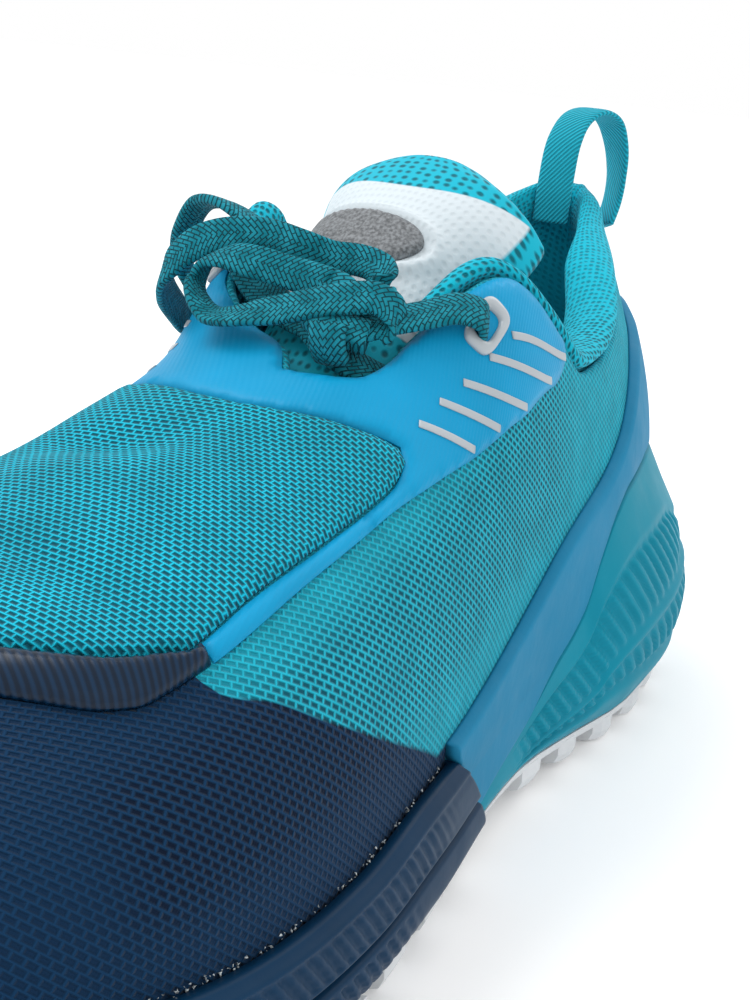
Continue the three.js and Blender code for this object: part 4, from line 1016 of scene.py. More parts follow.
class SHOE_OT_upper(bpy.types.Operator):
    """Hollow mesh upper, teal with a navy toe, with rounded edges at the collar and the throat"""

    bl_idname = "shoe.upper"
    bl_label = "Upper"
    bl_options = {"REGISTER", "UNDO"}

    def execute(self, context):
        rear = np.linspace(0, 6.8, 110, endpoint=False)
        throat = np.linspace(6.8, 7.6, 40, endpoint=False)
        dense = np.concatenate([rear, throat, np.linspace(7.6, STATIONS, 130)])
        us = np.concatenate([dense, (TURNS - dense[1:-1])[::-1]])
        high = np.where(station(us) < THROAT, top_edge(us), 1.0)
        wall = sizes().wall / MM
        rounding = np.where(high >= 0.9999, 0.0, EDGE_MARGIN)
        w, off = self.rings(high, wall, rounding)
        points = off_skin(us[:, None], w, off + swell_on_top(us[:, None], w))
        weave = weave_on_last(us[:, None] + 0 * w, w)
        t = station(us)[:, None] + 0 * w
        navy = (navy_line(t) - w) * RISE_MM
        navy = np.where(t < NAVY_START, -9, navy)
        zone = smooth(0.10, 0.22, w) * smooth(0.52, 0.38, w) * smooth(5.0, 5.8, t) * smooth(11.2, 10.6, t)
        faces = self.open_rings(ring_faces(len(us), w.shape[1], loop=True), us, w.shape[1])
        piece = store(
            "upper_mesh", points.reshape(-1, 3), faces, "upper_mesh", upper_finish(),
            weave=weave.reshape(-1, 3), masks={"navy_line": navy, "open_zone": zone}, replaces=("upper",),
        )
        tidy_normals(piece)
        return {"FINISHED"}

    def open_rings(self, faces, us, size):
        """Leaves out the rim's faces in front of the throat, where both sides join at the ridge."""
        joined = station(us) >= THROAT - 1e-6
        rim = range(UPPER_ROWS - 1, size - UPPER_ROWS)
        pairs = joined & np.roll(joined, -1)
        return [face for i, face in enumerate(faces) if not (pairs[i // size] and i % size in rim)]

    def rings(self, high, wall, rounding):
        """Height on the last and offset from it: up the outside, round the edge and down the inside."""
        turn = np.linspace(-1, 1, 7)[None, :]
        top = high[:, None]
        edge = rounding[:, None]
        up = mixed(0, top - edge, np.linspace(0, 1, UPPER_ROWS)[None, :])
        arc_w = top - edge + edge * np.cos(turn * math.pi / 2)
        arc_off = -wall / 2 - wall / 2 * np.sin(turn * math.pi / 2) + 0 * top
        w = np.concatenate([up, arc_w, up[:, ::-1]], 1)
        off = np.concatenate([0 * up, arc_off, 0 * up - wall], 1)
        return np.clip(w, 0, 1), off


# Size of the triangles over each panel, and thickness of the two that stand proud
FILM_STEP = 1.3
WINDOW_STEP = 1.1
BAND_STEP = 0.9
WINDOW_THICKNESS = 1.2
BAND_THICKNESS = 1.3
# Stations where the panels end
BAND_TIP = FILM_LOW[-1][0]
WINDOW_TIP = WINDOW_LOW[-1][0]
RAIL_END = BAND_START - 0.03
RAIL_CORNER = 0.615
LOBE_REAR = FILM_LOW[0][0]


def without_repeats(ring):
    """A closed outline without points that lie on the next one."""
    return [p for p, q in zip(ring, ring[1:] + ring[:1]) if np.hypot(p[0] - q[0], p[1] - q[1]) > 0.05]


def mirrored(outline):
    return [[x, -y] for x, y in outline]


class SHOE_OT_vamp(bpy.types.Operator):
    """Smooth film over the vamp and lace lobes, the mesh window let into it and the toe band"""

    bl_idname = "shoe.vamp"
    bl_label = "Vamp film, window and toe band"
    bl_options = {"REGISTER", "UNDO"}

    def execute(self, context):
        panel(
            "film_cover", [self.film_loop(self.window_loop(SEAM))], FILM_STEP, on_vamp(SEAT),
            sizes().film / MM, "vamp_film", film_finish(), rim=0.9, weave=vamp_weave,
            replaces=("vamp_film",),
        )
        panel(
            "window_mesh", [self.window_loop(0)], WINDOW_STEP, on_vamp(SEAT, self.window_relief),
            WINDOW_THICKNESS, "window_mesh", window_finish(), rim=1.6, weave=vamp_weave,
            replaces=("vamp_window",),
        )
        panel(
            "toe_band", [self.band_loop()], BAND_STEP, on_vamp(SEAT, self.band_relief),
            BAND_THICKNESS, "toe_band_rubber", front_band_finish(), rim=1.6, weave=vamp_weave,
            replaces=("vamp_front_band",),
        )
        return {"FINISHED"}

    def window_relief(self, flat):
        u, w = vamp_uw(flat)
        return 0.5 * smooth(0.0, 0.12, w - window_low(station(u)))

    def band_relief(self, flat):
        u, w = vamp_uw(flat)
        t = station(u)
        up = np.clip((w - film_low(t)) / np.maximum(window_low(t - BAND_LAG) - film_low(t), 0.02), 0, 1)
        return 1.5 * np.sin(math.pi * np.clip(1 - up, 0, 1) ** 0.7)

    def window_loop(self, margin):
        """Round the window: its front and sides, then the rear edge with rounded corners."""
        slip = margin * 5
        forward = np.concatenate([np.linspace(7.48, 9.75, 40), np.linspace(9.8, WINDOW_TIP, 40)])
        heights = [min(float(window_low(t)) - margin, 1) for t in forward]
        rows = [(t + slip, w) for t, w in zip(forward, heights)]
        outer = [vamp_plane(t, w, 1) for t, w in rows]
        inner = [vamp_plane(t, w, -1) for t, w in rows[::-1]]
        behind = [vamp_plane(t - slip, w, -1) for t, w in WINDOW_REAR]
        behind += [vamp_plane(t - slip, w, 1) for t, w in WINDOW_REAR[::-1]]
        return without_repeats(outer + inner[1:] + behind)

    def film_loop(self, opening):
        """The film's outline: lobes and throat behind, rails at both sides of the window in front."""
        corner = -vamp_plane(0, RAIL_CORNER)[1]
        front = [p for p in opening if p[0] < RAIL_END * STATION_MM]
        outer_rail = sorted([p for p in front if p[1] < -corner], key=itemgetter(0))
        inner_rail = sorted([p for p in front if p[1] > corner], key=itemgetter(0))
        rear = sorted([p for p in front if abs(p[1]) <= corner], key=itemgetter(1))
        sides = self.film_side(1) + self.film_side(-1)[::-1]
        return sides + inner_rail[::-1] + rear[::-1] + outer_rail

    def film_side(self, side):
        """Back along the film's lower line on one side, then forward over the lobe to the throat."""
        back = np.concatenate([np.linspace(RAIL_END, 5.8, 60), np.linspace(5.75, 5.44, 8)])
        low = [vamp_plane(t, float(film_low(t)), side) for t in back]
        tops = TOPS[0] if side > 0 else TOPS[1]
        forward = np.linspace(LOBE_REAR, THROAT - EDGE_MARGIN, 60)
        return low + [vamp_plane(t, float(tops(t)) - EDGE_MARGIN, side) for t in forward]

    def band_loop(self):
        """Round the toe band: forward and across along its front, back along the window."""
        forward = np.concatenate([np.linspace(BAND_START, 10.5, 24), np.linspace(10.55, BAND_TIP, 36)])
        front = [vamp_plane(t, min(float(film_low(t)), 1), 1) for t in forward]
        last = WINDOW_TIP + BAND_LAG
        back = np.concatenate([np.linspace(last, 10.55, 30), np.linspace(10.45, BAND_START, 24)])
        rear = [vamp_plane(t, min(float(window_low(t - BAND_LAG)) - 2 * SEAM, 1), -1) for t in back]
        return without_repeats(front + mirrored(front)[::-1] + rear[::-1] + mirrored(rear))


# Silver bars on the film: upper end and lower end of each, by station and height, and its dip between
BARS = [
    ((6.17, 0.540), (5.40, 0.445), 0.025), ((6.43, 0.560), (5.73, 0.405), 0.033),
    ((6.70, 0.585), (6.17, 0.395), 0.020), ((6.93, 0.610), (6.53, 0.425), 0.010),
    ((7.17, 0.615), (6.83, 0.455), 0.006),
]
BAR_WIDTH = 1.45
BAR_THICKNESS = 0.3
# Station and height of each top eyelet
EYELETS = {"lateral": (6.38, 0.608), "medial": (TURNS - 6.28, 0.595)}
EYELET_HALF_LENGTH = 5.7
EYELET_HALF_WIDTH = 3.4
EYELET_SLANT = 0.35
# Share of the eyelet's outline and height of its flange there, from the rim to the hole
FLANGE = [
    (1.0, 0.0), (1.0, 0.5), (0.97, 0.8), (0.9, 1.05), (0.8, 1.15), (0.7, 1.1), (0.62, 0.9),
    (0.58, 0.6), (0.55, 0.3), (0.54, 0.0),
]


class SHOE_OT_trim(bpy.types.Operator):
    """Silver bars and the top eyelets on both lobes"""

    bl_idname = "shoe.trim"
    bl_label = "Bars and eyelets"
    bl_options = {"REGISTER", "UNDO"}

    def execute(self, context):
        silver = moulded_finish("silver_print", colours().silver, 0.35, 2500, 0.00006, 0.92, Metallic=0.15)
        seat = SEAT + sizes().film / MM
        for side, label in ((1, "lateral"), (-1, "medial")):
            for index, (top, foot, dip) in enumerate(BARS):
                self.bar(f"silver_bar_{label}_{index + 1}", top, foot, dip, side, seat, silver)
            self.eyelet(label, side)
        return {"FINISHED"}

    def bar(self, name, top, foot, dip, side, seat, finish):
        share = np.linspace(0.0, 0.9, 9)
        t = mixed(top[0], foot[0], share) + 0.05
        w = mixed(top[1], foot[1], share) - dip * 4 * share * (1 - share)
        kept = w > film_low(t) + 0.008
        u = t[kept] if side > 0 else TURNS - t[kept]
        w = w[kept]
        points = off_skin(u, w, np.full(len(u), seat + 0.1))
        across = np.cross(normal(u, w), np.gradient(points, axis=0))
        ribbon(name, points, BAR_WIDTH, BAR_THICKNESS, across, "eyelet_plastic", finish)

    def eyelet(self, label, side):
        u0, w0 = EYELETS[label]
        slant = side * EYELET_SLANT
        finish = moulded_finish(
            f"eyelet_{label}_plastic", colours().silver, 0.22, 900, 0.00003, 0.95, Coat_Weight=0.5
        )
        step = 0.01
        along = np.linalg.norm(skin(u0 + step, w0) - skin(u0 - step, w0)) / (2 * step)
        up = np.linalg.norm(skin(u0, w0 + step) - skin(u0, w0 - step)) / (2 * step)
        low = SEAT + sizes().film / MM - 0.1
        angle = np.linspace(0, 2 * math.pi, 65)[:-1]
        a = squared(np.cos(angle), 0.6)[:, None] * EYELET_HALF_LENGTH
        b = squared(np.sin(angle), 0.6)[:, None] * EYELET_HALF_WIDTH
        share, height = np.array(FLANGE).T
        rings = off_skin(u0 + (a + slant * b) * share / along, w0 + b * share / up, low + height + 0 * a)
        piece = store(
            f"eyelet_{label}_ring", rings.reshape(-1, 3), ring_faces(*rings.shape[:2], loop=True),
            "eyelet_plastic", finish, replaces=(f"eyelet_{label}",),
        )
        tidy_normals(piece)


# Rim heights by station: the heel cup's line, then the forefoot's lip
RIMS = [
    [0.0, 0.980, 1.35], [2.0, 1.020, 1.30], [3.0, 1.040, 1.25], [4.0, 0.990, 1.20], [4.35, 0.910, 1.20],
    [4.65, 0.745, 1.20], [4.85, 0.570, 1.18], [5.35, 0.430, 1.17], [5.93, 0.300, 1.16], [6.67, 0.235, 1.15],
    [7.15, 0.200, 1.14], [8.0, 0.190, 1.12], [9.0, 0.190, 1.02], [10.0, 0.190, 0.99], [11.0, 0.200, 1.04],
    [12.0, 0.240, 1.14], [13.0, 0.300, 1.27], [14.0, 0.350, 1.35],
]
# How far the foam stands out, by share of its height: the heel, then the forefoot
HEEL_PROFILE = [[0.00, 7.0], [0.12, 10.0], [0.34, 11.6], [0.60, 8.2], [0.86, 2.6], [1.00, 0.0]]
FORE_PROFILE = [
    [0.00, 0.6], [0.10, 2.4], [0.28, 3.8], [0.46, 3.2], [0.52, 2.3], [0.58, 3.2], [0.80, 2.4],
    [0.94, 1.0], [1.00, 0.0],
]
# Share of the heel's flare at each station
FLARE = [[0, 0.55], [1, 0.78], [2, 1.0], [3, 1.0], [4, 0.8], [5, 0.42], [6, 0.12], [7, 0.05], [14, 0.05]]
# The line between the two foams: height over the rim at the ball, and share of the length
SPLIT = [[-0.2, 0.495], [0.25, 0.506], [0.75, 0.524], [1.18, 0.553], [1.6, 0.565], [9.0, 0.60]]
heel_rim, fore_rim = curve(RIMS, 1), curve(RIMS, 2)
heel_out, fore_out = curve(HEEL_PROFILE, 1), curve(FORE_PROFILE, 1)
heel_flare = curve(FLARE, 1)
SKIRT = BAND + GAP + FACET_ROOM


def no_flare(t):
    return 1.0


def split_x(z):
    """Where along the shoe the heel's foam meets the forefoot's, by height."""
    rows = np.array(SPLIT)
    return np.interp(np.asarray(z) / RIM_BALL, rows[:, 0], rows[:, 1]) * shoe_length()


def station_at(x, side):
    """The station where the feather line reaches a length."""
    ts = np.linspace(0, STATIONS, 561)
    xs = skin(ts if side > 0 else TURNS - ts, 0)[:, 0]
    return np.interp(x, xs, ts)


def bar_wave(value, sharp=4.0):
    """Rounded bars with narrow grooves, 1 on a bar."""
    return np.clip((np.cos(2 * math.pi * value) * 0.5 + 0.5) * sharp - (sharp - 1) / 2, 0, 1)


def heel_relief(t, up, run, z):
    """The leaf in the heel's side: a shallow recess with two rows of bars and a spine."""
    from_tip = smooth(6.2, 5.6, t)
    low_edge = 0.13 + 0.05 * smooth(3.0, 1.4, t)
    high_edge = mixed(0.80, 0.62, smooth(3.2, 1.2, t)) + 0.06 * smooth(5.0, 6.2, t)
    inside = smooth(low_edge, low_edge + 0.07, up) * smooth(high_edge, high_edge - 0.09, up)
    inside = inside * from_tip * smooth(0.8, 2.6, t)
    spine = mixed(0.30, 0.50, smooth(5.8, 2.0, t))
    on_spine = hump(up, spine, 0.035)
    margin = smooth(low_edge + 0.04, low_edge + 0.09, up) * smooth(high_edge - 0.04, high_edge - 0.09, up)
    bars = bar_wave((run - 0.75 * z) / 4.6)
    filled = np.maximum(bars * margin * (1 - hump(up, spine, 0.07)), on_spine)
    return -1.25 * inside * (1 - 0.8 * filled)


def fore_relief(t, up, run, z):
    """Ribs under the forefoot's lip, a groove, and ribs under that."""
    leaf = smooth(0.585, 0.62, up) * smooth(0.90, 0.84, up) * smooth(7.6, 8.4, t)
    upper_ribs = leaf * (1 - bar_wave((run - 0.8 * z) / 2.8, 3.0)) * -0.45
    lower = smooth(0.44, 0.40, up) * smooth(0.04, 0.10, up) * smooth(8.2, 9.0, t)
    lower_ribs = lower * (1 - bar_wave((run - 0.7 * z) / 3.2, 3.0)) * -0.6
    groove = -1.4 * hump(up, 0.515, 0.028)
    ridge = 0.5 * hump(up, 0.92, 0.03)
    return upper_ribs + lower_ribs + groove + ridge


def sole_part(name, front, rim, rim_size, profile, flare, relief, rows, columns, slot, finish, replaces):
    """One part of the sole as rings that cross it, from the heel to the split or from it to the toe."""
    ups = np.linspace(0, 1, rows)
    share = np.linspace(0, 1, columns)
    halves = []
    for side in (1, -1):
        rough_t = station_at(split_x(20.0), side)
        low = plate_top(split_x(20.0)) + GAP
        z_guess = mixed(low, rim(rough_t) * rim_size, ups)
        cut = station_at(split_x(z_guess) + (GAP / 2 if front else -GAP / 2), side)[None, :]
        t = mixed(cut, float(STATIONS), share[:, None]) if front else mixed(0.0, cut, share[:, None])
        u = t if side > 0 else TURNS - t
        low = plate_top(skin(u, 0)[..., 0]) + GAP
        top = np.maximum(rim(t) * rim_size, low + 1)
        z = mixed(low, top, ups[None, :])
        table = np.linspace(0, STATIONS, 281)
        run = np.interp(t, table, arc_lengths(skin(table, 0), 0))
        out = SKIRT + profile(ups)[None, :] * flare(t) + relief(t, ups[None, :] + 0 * t, run, z)
        outside = flank(u, z, out)
        bed_height = bed(skin(u[:, -1:], 0)[..., 0])
        down = mixed(top[:, -1:], bed_height, np.linspace(0, 1, 6)[None, :])
        inside = flank(u[:, -1:] + 0 * down, down, GAP + FACET_ROOM)
        halves.append(np.concatenate([outside, inside], 1))
    rings = np.concatenate([halves[0], halves[1][:, ::-1]], 1)
    faces = ring_faces(columns, rings.shape[1])
    piece = store(name, rings.reshape(-1, 3), faces, slot, finish, replaces=replaces)
    return tidy_normals(piece, 0.00001)


# The lugs at the edge: first, last and spacing along the side, each one's length, the bare waist
LUG_RANGE = (22, 265, 17.5)
LUG_LENGTH = 9
LUG_FLARE = 7.0
WAIST = (118, 138)


class SHOE_OT_sole(bpy.types.Operator):
    """Flared heel foam with its leaf of bars, the darker ribbed forefoot, and the rubber tread"""

    bl_idname = "shoe.sole"
    bl_label = "Sole"
    bl_options = {"REGISTER", "UNDO"}

    def execute(self, context):
        c = colours()
        heel = moulded_finish("heel_foam", c.foam, 0.5, 700, 0.00005, 0.9)
        fore = moulded_finish("forefoot_foam", c.navy_foam, 0.42, 500, 0.00006, 0.8)
        sole_part(
            "heel_foam_body", False, heel_rim, RIM_HEEL, heel_out, heel_flare, heel_relief,
            90, 330, "heel_foam", heel, ("midsole_heel",),
        )
        sole_part(
            "forefoot_foam_body", True, fore_rim, RIM_BALL, fore_out, no_flare, fore_relief,
            72, 330, "forefoot_foam", fore, ("midsole_forefoot",),
        )
        self.edge_lugs(moulded_finish("lug_rubber", c.tread, 0.5, 500, 0.00008, 0.92))
        rubber = moulded_finish("tread_rubber", c.tread, 0.55, 500, 0.00008, 0.9)
        liner = moulded_finish("liner_cloth", (0.02, 0.15, 0.21), 0.95, 2600, 0.00015, 0.8, Sheen_Weight=0.3)
        for node, finish in (("outsole", rubber), ("insole", liner)):
            mesh = nodes[node].data
            mesh.materials.clear()
            mesh.materials.append(finish)
        return {"FINISHED"}

    def edge_lugs(self, finish):
        """Blocky lugs that show past the edge of the heel and forefoot, down to the floor."""
        table = np.linspace(0, STATIONS, 281)
        points, faces = [], []
        for side in (1, -1):
            run = arc_lengths(skin(table if side > 0 else TURNS - table, 0), 0)
            starts = [start for start in np.arange(*LUG_RANGE) if not WAIST[0] < start < WAIST[1]]
            for start in starts:
                first = len(points)
                for share in np.linspace(0, 1, 5):
                    at = start + LUG_LENGTH * share
                    t = float(np.interp(at, run, table))
                    u = t if side > 0 else TURNS - t
                    pinch = 1 - 0.25 * abs(2 * share - 1) ** 3
                    x = float(skin(u, 0)[0])
                    low, high = LUG * float(under_curve(x / shoe_length())), float(plate_top(x)) - 0.2
                    reach = SKIRT + (LUG_FLARE * float(heel_flare(t)) + 0.2) * pinch
                    section = [
                        (-7, low + 0.3), (-6, low), (reach - 2.2, low), (reach - 0.9, low + 0.5),
                        (reach - 0.2, low + 2.2), (reach - 0.3, high - 0.8), (reach - 1.2, high), (-7, high),
                    ]
                    points += [flank(u, level, out) for out, level in section]
                faces += [tuple(first + k for k in face) for face in ring_faces(5, 8)]
        piece = store("tread_edge_lugs", points, faces, "tread_rubber", finish, smooth_shade=False)
        tidy_normals(piece)


# Upper edge of the heel band at each station, as a share of the heel rim's height
BAND_TOP = [
    [0.0, 1.66], [1.0, 1.64], [2.0, 1.58], [3.0, 1.48], [3.43, 1.39], [4.07, 1.21], [4.6, 1.08],
    [5.37, 0.94], [6.17, 0.745], [6.9, 0.63], [7.3, 0.59], [8.0, 0.56],
]
band_top = curve(BAND_TOP, 1)


class SHOE_OT_band(bpy.types.Operator):
    """Moulded stabilizer round the heel, tapering down to the waist of the sole"""

    bl_idname = "shoe.heel_band"
    bl_label = "Heel band"
    bl_options = {"REGISTER", "UNDO"}

    def execute(self, context):
        rows = 46
        ups = np.linspace(0, 1, rows)
        share = np.linspace(0, 1, 190)
        halves = []
        for side in (1, -1):
            guess = station_at(split_x(28.0) - GAP, side)
            z_guess = mixed(heel_rim(guess) * RIM_HEEL + GAP, band_top(guess) * RIM_HEEL, ups)
            cut = station_at(split_x(z_guess) - GAP / 2, side)[None, :]
            t = cut * share[:, None]
            u = t if side > 0 else TURNS - t
            z = mixed(heel_rim(t) * RIM_HEEL + GAP, band_top(t) * RIM_HEEL, ups[None, :])
            base = skin(u, 0)[..., 2]
            below = np.maximum(base - z, 0)
            near = np.minimum(ups, 1 - ups)[None, :] * (z[:, -1:] - z[:, :1])
            rounded = np.sqrt(np.clip(1 - (1 - np.clip(near / 1.3, 0, 1)) ** 2, 0, 1))
            crown = 0.35 * np.sin(math.pi * ups)[None, :]
            full = SKIRT + np.minimum(below * 0.12, 1) + crown
            inner = np.where(z > base + 1, 0.05, GAP + FACET_ROOM + GAP)
            out = mixed(inner + 0.5, full, rounded)
            outside = flank(u, z, out)
            inside = flank(u[:, ::-1], z[:, ::-1], inner[:, ::-1])
            halves.append(np.concatenate([outside, inside], 1))
        rings = np.concatenate([halves[1][::-1], halves[0][1:]], 0)
        finish = moulded_finish("heel_band_rubber", colours().band, 0.62, 420, 0.00018, 0.92)
        piece = store(
            "heel_band_body", rings.reshape(-1, 3), ring_faces(len(rings), rings.shape[1]),
            "heel_band_rubber", finish, replaces=("heel_band",),
        )
        tidy_normals(piece)
        return {"FINISHED"}


# Station, shares of the collar's padding and roll, and how level the padding leans inwards
PAD_ROWS = [
    [0.0, 0.85, 1.00, 1], [2.0, 0.85, 1.00, 1], [3.0, 0.95, 1.00, 0.7], [4.0, 1.00, 1.00, 0],
    [4.6, 0.90, 0.98, 0], [5.5, 0.66, 1.00, 0], [6.0, 0.50, 0.98, 0], [6.8, 0.40, 0.80, 0],
]
# Section of the roll: height over the edge and depth inwards, as shares
ROLL = [(0.10, -0.04), (0.45, -0.12), (0.80, 0.02), (1.00, 0.40), (0.95, 0.80), (0.66, 1.10), (0.25, 1.20)]
# Padding and roll in millimetres, and the opening's middle as shares of length and half width
COLLAR_PAD = 7
COLLAR_ROLL = 4.6
OPENING_X = 0.18
OPENING_Y = -0.06
# The padding stands higher and further out on the inner side's lobe
INNER_LIFT_AT = 6.05
INNER_LIFT = (0, -2.2, 1.8)


class SHOE_OT_collar(bpy.types.Operator):
    """Padded collar with its roll above the upper's edge, running out along the lace lobes"""

    bl_idname = "shoe.collar"
    bl_label = "Collar"
    bl_options = {"REGISTER", "UNDO"}

    def execute(self, context):
        pad_share, roll_share, level_share = [curve(PAD_ROWS, k) for k in (1, 2, 3)]
        ts = np.linspace(0, 6.6, 120)
        us = np.concatenate([(TURNS - ts)[::-1][:-1], ts])
        t = station(us)
        pad, roll = COLLAR_PAD * pad_share(t), COLLAR_ROLL * roll_share(t)
        edge, low = top_edge(us), edge_at(us, PADS)
        lifted = hump(t, INNER_LIFT_AT, 0.45) * (us > STATIONS)
        rim = skin(us, edge) + lifted[:, None] * np.array(INNER_LIFT)
        middle = rim.copy()
        middle[:, 0] = OPENING_X * shoe_length()
        middle[:, 1] = OPENING_Y * half_width()
        level = level_share(t)[:, None]
        inward = unit(-normal(us, edge) * (1 - level) + unit(middle - rim) * level)
        up = unit(skin(us, edge + 0.01) - skin(us, edge - 0.01))
        wall = sizes().wall / MM
        fit = wall + GAP + 3 * FACET_ROOM
        rows = []
        for s in np.linspace(0, 1, 6):
            rows.append(off_skin(us, mixed(low, edge, s), np.full(len(us), -fit)))
        rows[-1] = rows[-1] + up * (GAP + FACET_ROOM)
        for high, deep in ROLL:
            rows.append(rim + up * (GAP + high * roll)[:, None] + inward * (deep * (pad + wall))[:, None])
        for i, s in enumerate(np.linspace(0, 1, 9)):
            thick = pad * mixed(1, 0.3, (i / 8) ** 2)
            rows.append(off_skin(us, mixed(edge, low, s), np.full(len(us), -fit)) + inward * thick[:, None])
        rings = np.stack(rows, 1)
        around = arc_lengths(rings, 1)
        along = arc_lengths(rim, 0)[:, None] + 0 * around
        weave = np.stack([along, around, 0 * along], -1)
        roll_zone = smooth(4, 6, np.arange(rings.shape[1])) * smooth(18, 13, np.arange(rings.shape[1]))
        knit = np.clip(roll_zone[None, :] * (0.35 + 0.65 * smooth(3.4, 5.0, t))[:, None] + 0.25, 0, 1)
        piece = store(
            "collar_padding", rings.reshape(-1, 3), ring_faces(len(us), rings.shape[1]), "collar_knit",
            knit_finish(), weave=weave.reshape(-1, 3), masks={"knit": knit}, replaces=("collar",),
        )
        tidy_normals(piece)
        soften = piece.modifiers.new("soft", "SUBSURF")
        soften.levels = soften.render_levels = 1
        return {"FINISHED"}


# Share of the way up the tongue, then its x, z and y, half width, arch and thickness as shares
TONGUE = [
    [0.00, 0.600, 0.620, 0.07, 0.70, 0.30, 0.40], [0.18, 0.555, 0.680, 0.07, 0.76, 0.34, 0.45],
    [0.36, 0.505, 0.755, 0.06, 0.80, 0.42, 0.55], [0.54, 0.455, 0.862, 0.02, 0.82, 0.54, 0.80],
    [0.70, 0.412, 0.960, -0.02, 0.82, 0.58, 1.00], [0.84, 0.375, 1.030, -0.01, 0.92, 0.50, 1.00],
    [0.94, 0.350, 1.066, -0.02, 0.97, 0.44, 0.95], [0.99, 0.338, 1.080, -0.03, 0.74, 0.36, 0.70],
    [1.00, 0.335, 1.083, -0.03, 0.55, 0.26, 0.45],
]
TONGUE_WIDTH = 48
TONGUE_PAD = 5
# Length of the tongue's face, and millimetres across it from its middle to its edge
TONGUE_RUN = 92.0
TONGUE_HALF = 20.0
KNIT_TOP = 14.0
KNIT_SIDE = 2.4
tongue_x, tongue_z, tongue_y = [curve(TONGUE, k) for k in (1, 2, 3)]
tongue_half, tongue_arch, tongue_thick = [curve(TONGUE, k) for k in (4, 5, 6)]


def tongue_point(s, across, depth):
    """A point of the tongue: s up it, across it from -1 to 1, and how deep under its front."""
    s, across, depth = [np.asarray(value, float) for value in (s, across, depth)]
    s, across, depth = np.broadcast_arrays(s, across, depth)
    high = sizes().instep / MM

    def at(value):
        place = (tongue_x(value) * shoe_length(), tongue_y(value) * half_width(), tongue_z(value) * high)
        return np.stack(place, -1)

    along = at(np.minimum(s + 0.02, 1)) - at(np.maximum(s - 0.02, 0))
    along[..., 1] = 0
    along = unit(along)
    out = np.stack([along[..., 2], np.zeros(s.shape), -along[..., 0]], -1)
    bend = across**2 * mixed(0.5, 1, across**2) * tongue_arch(s) * TONGUE_WIDTH / 2
    slide = across * TONGUE_WIDTH / 2 * tongue_half(s)
    point = at(s) + out * (-bend - depth)[..., None]
    point[..., 1] += slide
    return point


# Outline of the plaque: share of the way up the tongue, and across it
BADGE = [
    (0.600, -0.50), (0.610, -0.72), (0.640, -0.88), (0.690, -0.94), (0.728, -0.92), (0.750, -0.78),
    (0.752, -0.40), (0.750, -0.05), (0.744, 0.20), (0.730, 0.42), (0.703, 0.52), (0.668, 0.47),
    (0.635, 0.32), (0.610, 0.06),
]


def badge_loop(grow=0.0):
    """The plaque's outline in the tongue's plane, rounded at its corners."""
    ring = np.array([(s * TONGUE_RUN, k * TONGUE_HALF) for s, k in BADGE])
    centre = ring.mean(0)
    ring = centre + (ring - centre) * (1 + grow)
    for _ in range(2):
        after = np.roll(ring, -1, 0)
        ring = np.stack([0.75 * ring + 0.25 * after, 0.25 * ring + 0.75 * after], 1).reshape(-1, 2)
    return ring


class SHOE_OT_tongue(bpy.types.Operator):
    """Padded tongue in dimpled white film with a knitted border, knit also over its lower half, partly as
    painted shade of the throat, and the plain plaque on it
    """

    bl_idname = "shoe.tongue"
    bl_label = "Tongue"
    bl_options = {"REGISTER", "UNDO"}

    def execute(self, context):
        ss = np.concatenate([np.linspace(0, 0.86, 110, endpoint=False), np.linspace(0.86, 1, 36)])
        ks = np.sin(np.linspace(-1, 1, 73) * math.pi / 2)
        s, k = ss[:, None], ks[None, :]
        thick = TONGUE_PAD * tongue_thick(s)
        flat = np.stack([s * TONGUE_RUN + 0 * k, k * TONGUE_HALF + 0 * s], -1)
        ring = 0.9 * self.ring_height(flat.reshape(-1, 2)).reshape(flat.shape[:2])
        edge = smooth(0, 2.2, (1 - np.abs(k)) * 24)
        outside = tongue_point(s, k, thick * 0.5 * k**4 - ring * edge - 0.5 * edge * smooth(0.3, 0.6, s))
        inside = tongue_point(s, k[:, ::-1], thick * (1 - 0.3 * k[:, ::-1] ** 4))
        rings = np.concatenate([outside, inside], 1)
        side = 1 - KNIT_SIDE / (TONGUE_WIDTH / 2 * tongue_half(s))
        upper = smooth(0.62, 0.8, s)
        above = (s - 1) * TONGUE_RUN + KNIT_TOP - 10.0 * k**2
        beside = (np.abs(k) - side) * 22 * upper - 3 * (1 - upper)
        # Below half way up the tongue is knit as well: partly the teal knit seen in the throat, partly
        # painted shade standing in for the dark throat.
        border = np.maximum(np.maximum(above, beside), (0.50 - s) * TONGUE_RUN)
        masks = np.concatenate([border, 6 + 0 * border], 1)
        weave = np.concatenate([flat, flat[:, ::-1]], 1)
        weave = np.concatenate([weave, 0 * weave[..., :1]], -1)
        piece = store(
            "tongue_padding", rings.reshape(-1, 3), ring_faces(len(ss), rings.shape[1]), "tongue_film",
            tongue_finish(), weave=weave.reshape(-1, 3), masks={"border": masks}, replaces=("tongue",),
        )
        tidy_normals(piece)
        panel(
            "badge_plaque", [badge_loop()], 0.9, self.lay_plaque, 1.2, "badge_plastic", badge_finish(),
            rim=0.9, replaces=("tongue_badge",),
        )
        return {"FINISHED"}

    def lay_plaque(self, flat, out):
        """Lays points of the tongue's plane just over its front."""
        return tongue_point(flat[:, 0] / TONGUE_RUN, flat[:, 1] / TONGUE_HALF, -GAP - FACET_ROOM - out)

    def ring_height(self, flat):
        """A raised ring round the plaque."""
        distance = rim_distance(flat, [badge_loop(0.16)])
        return 1.5 * hump(distance, 0, 1.1)


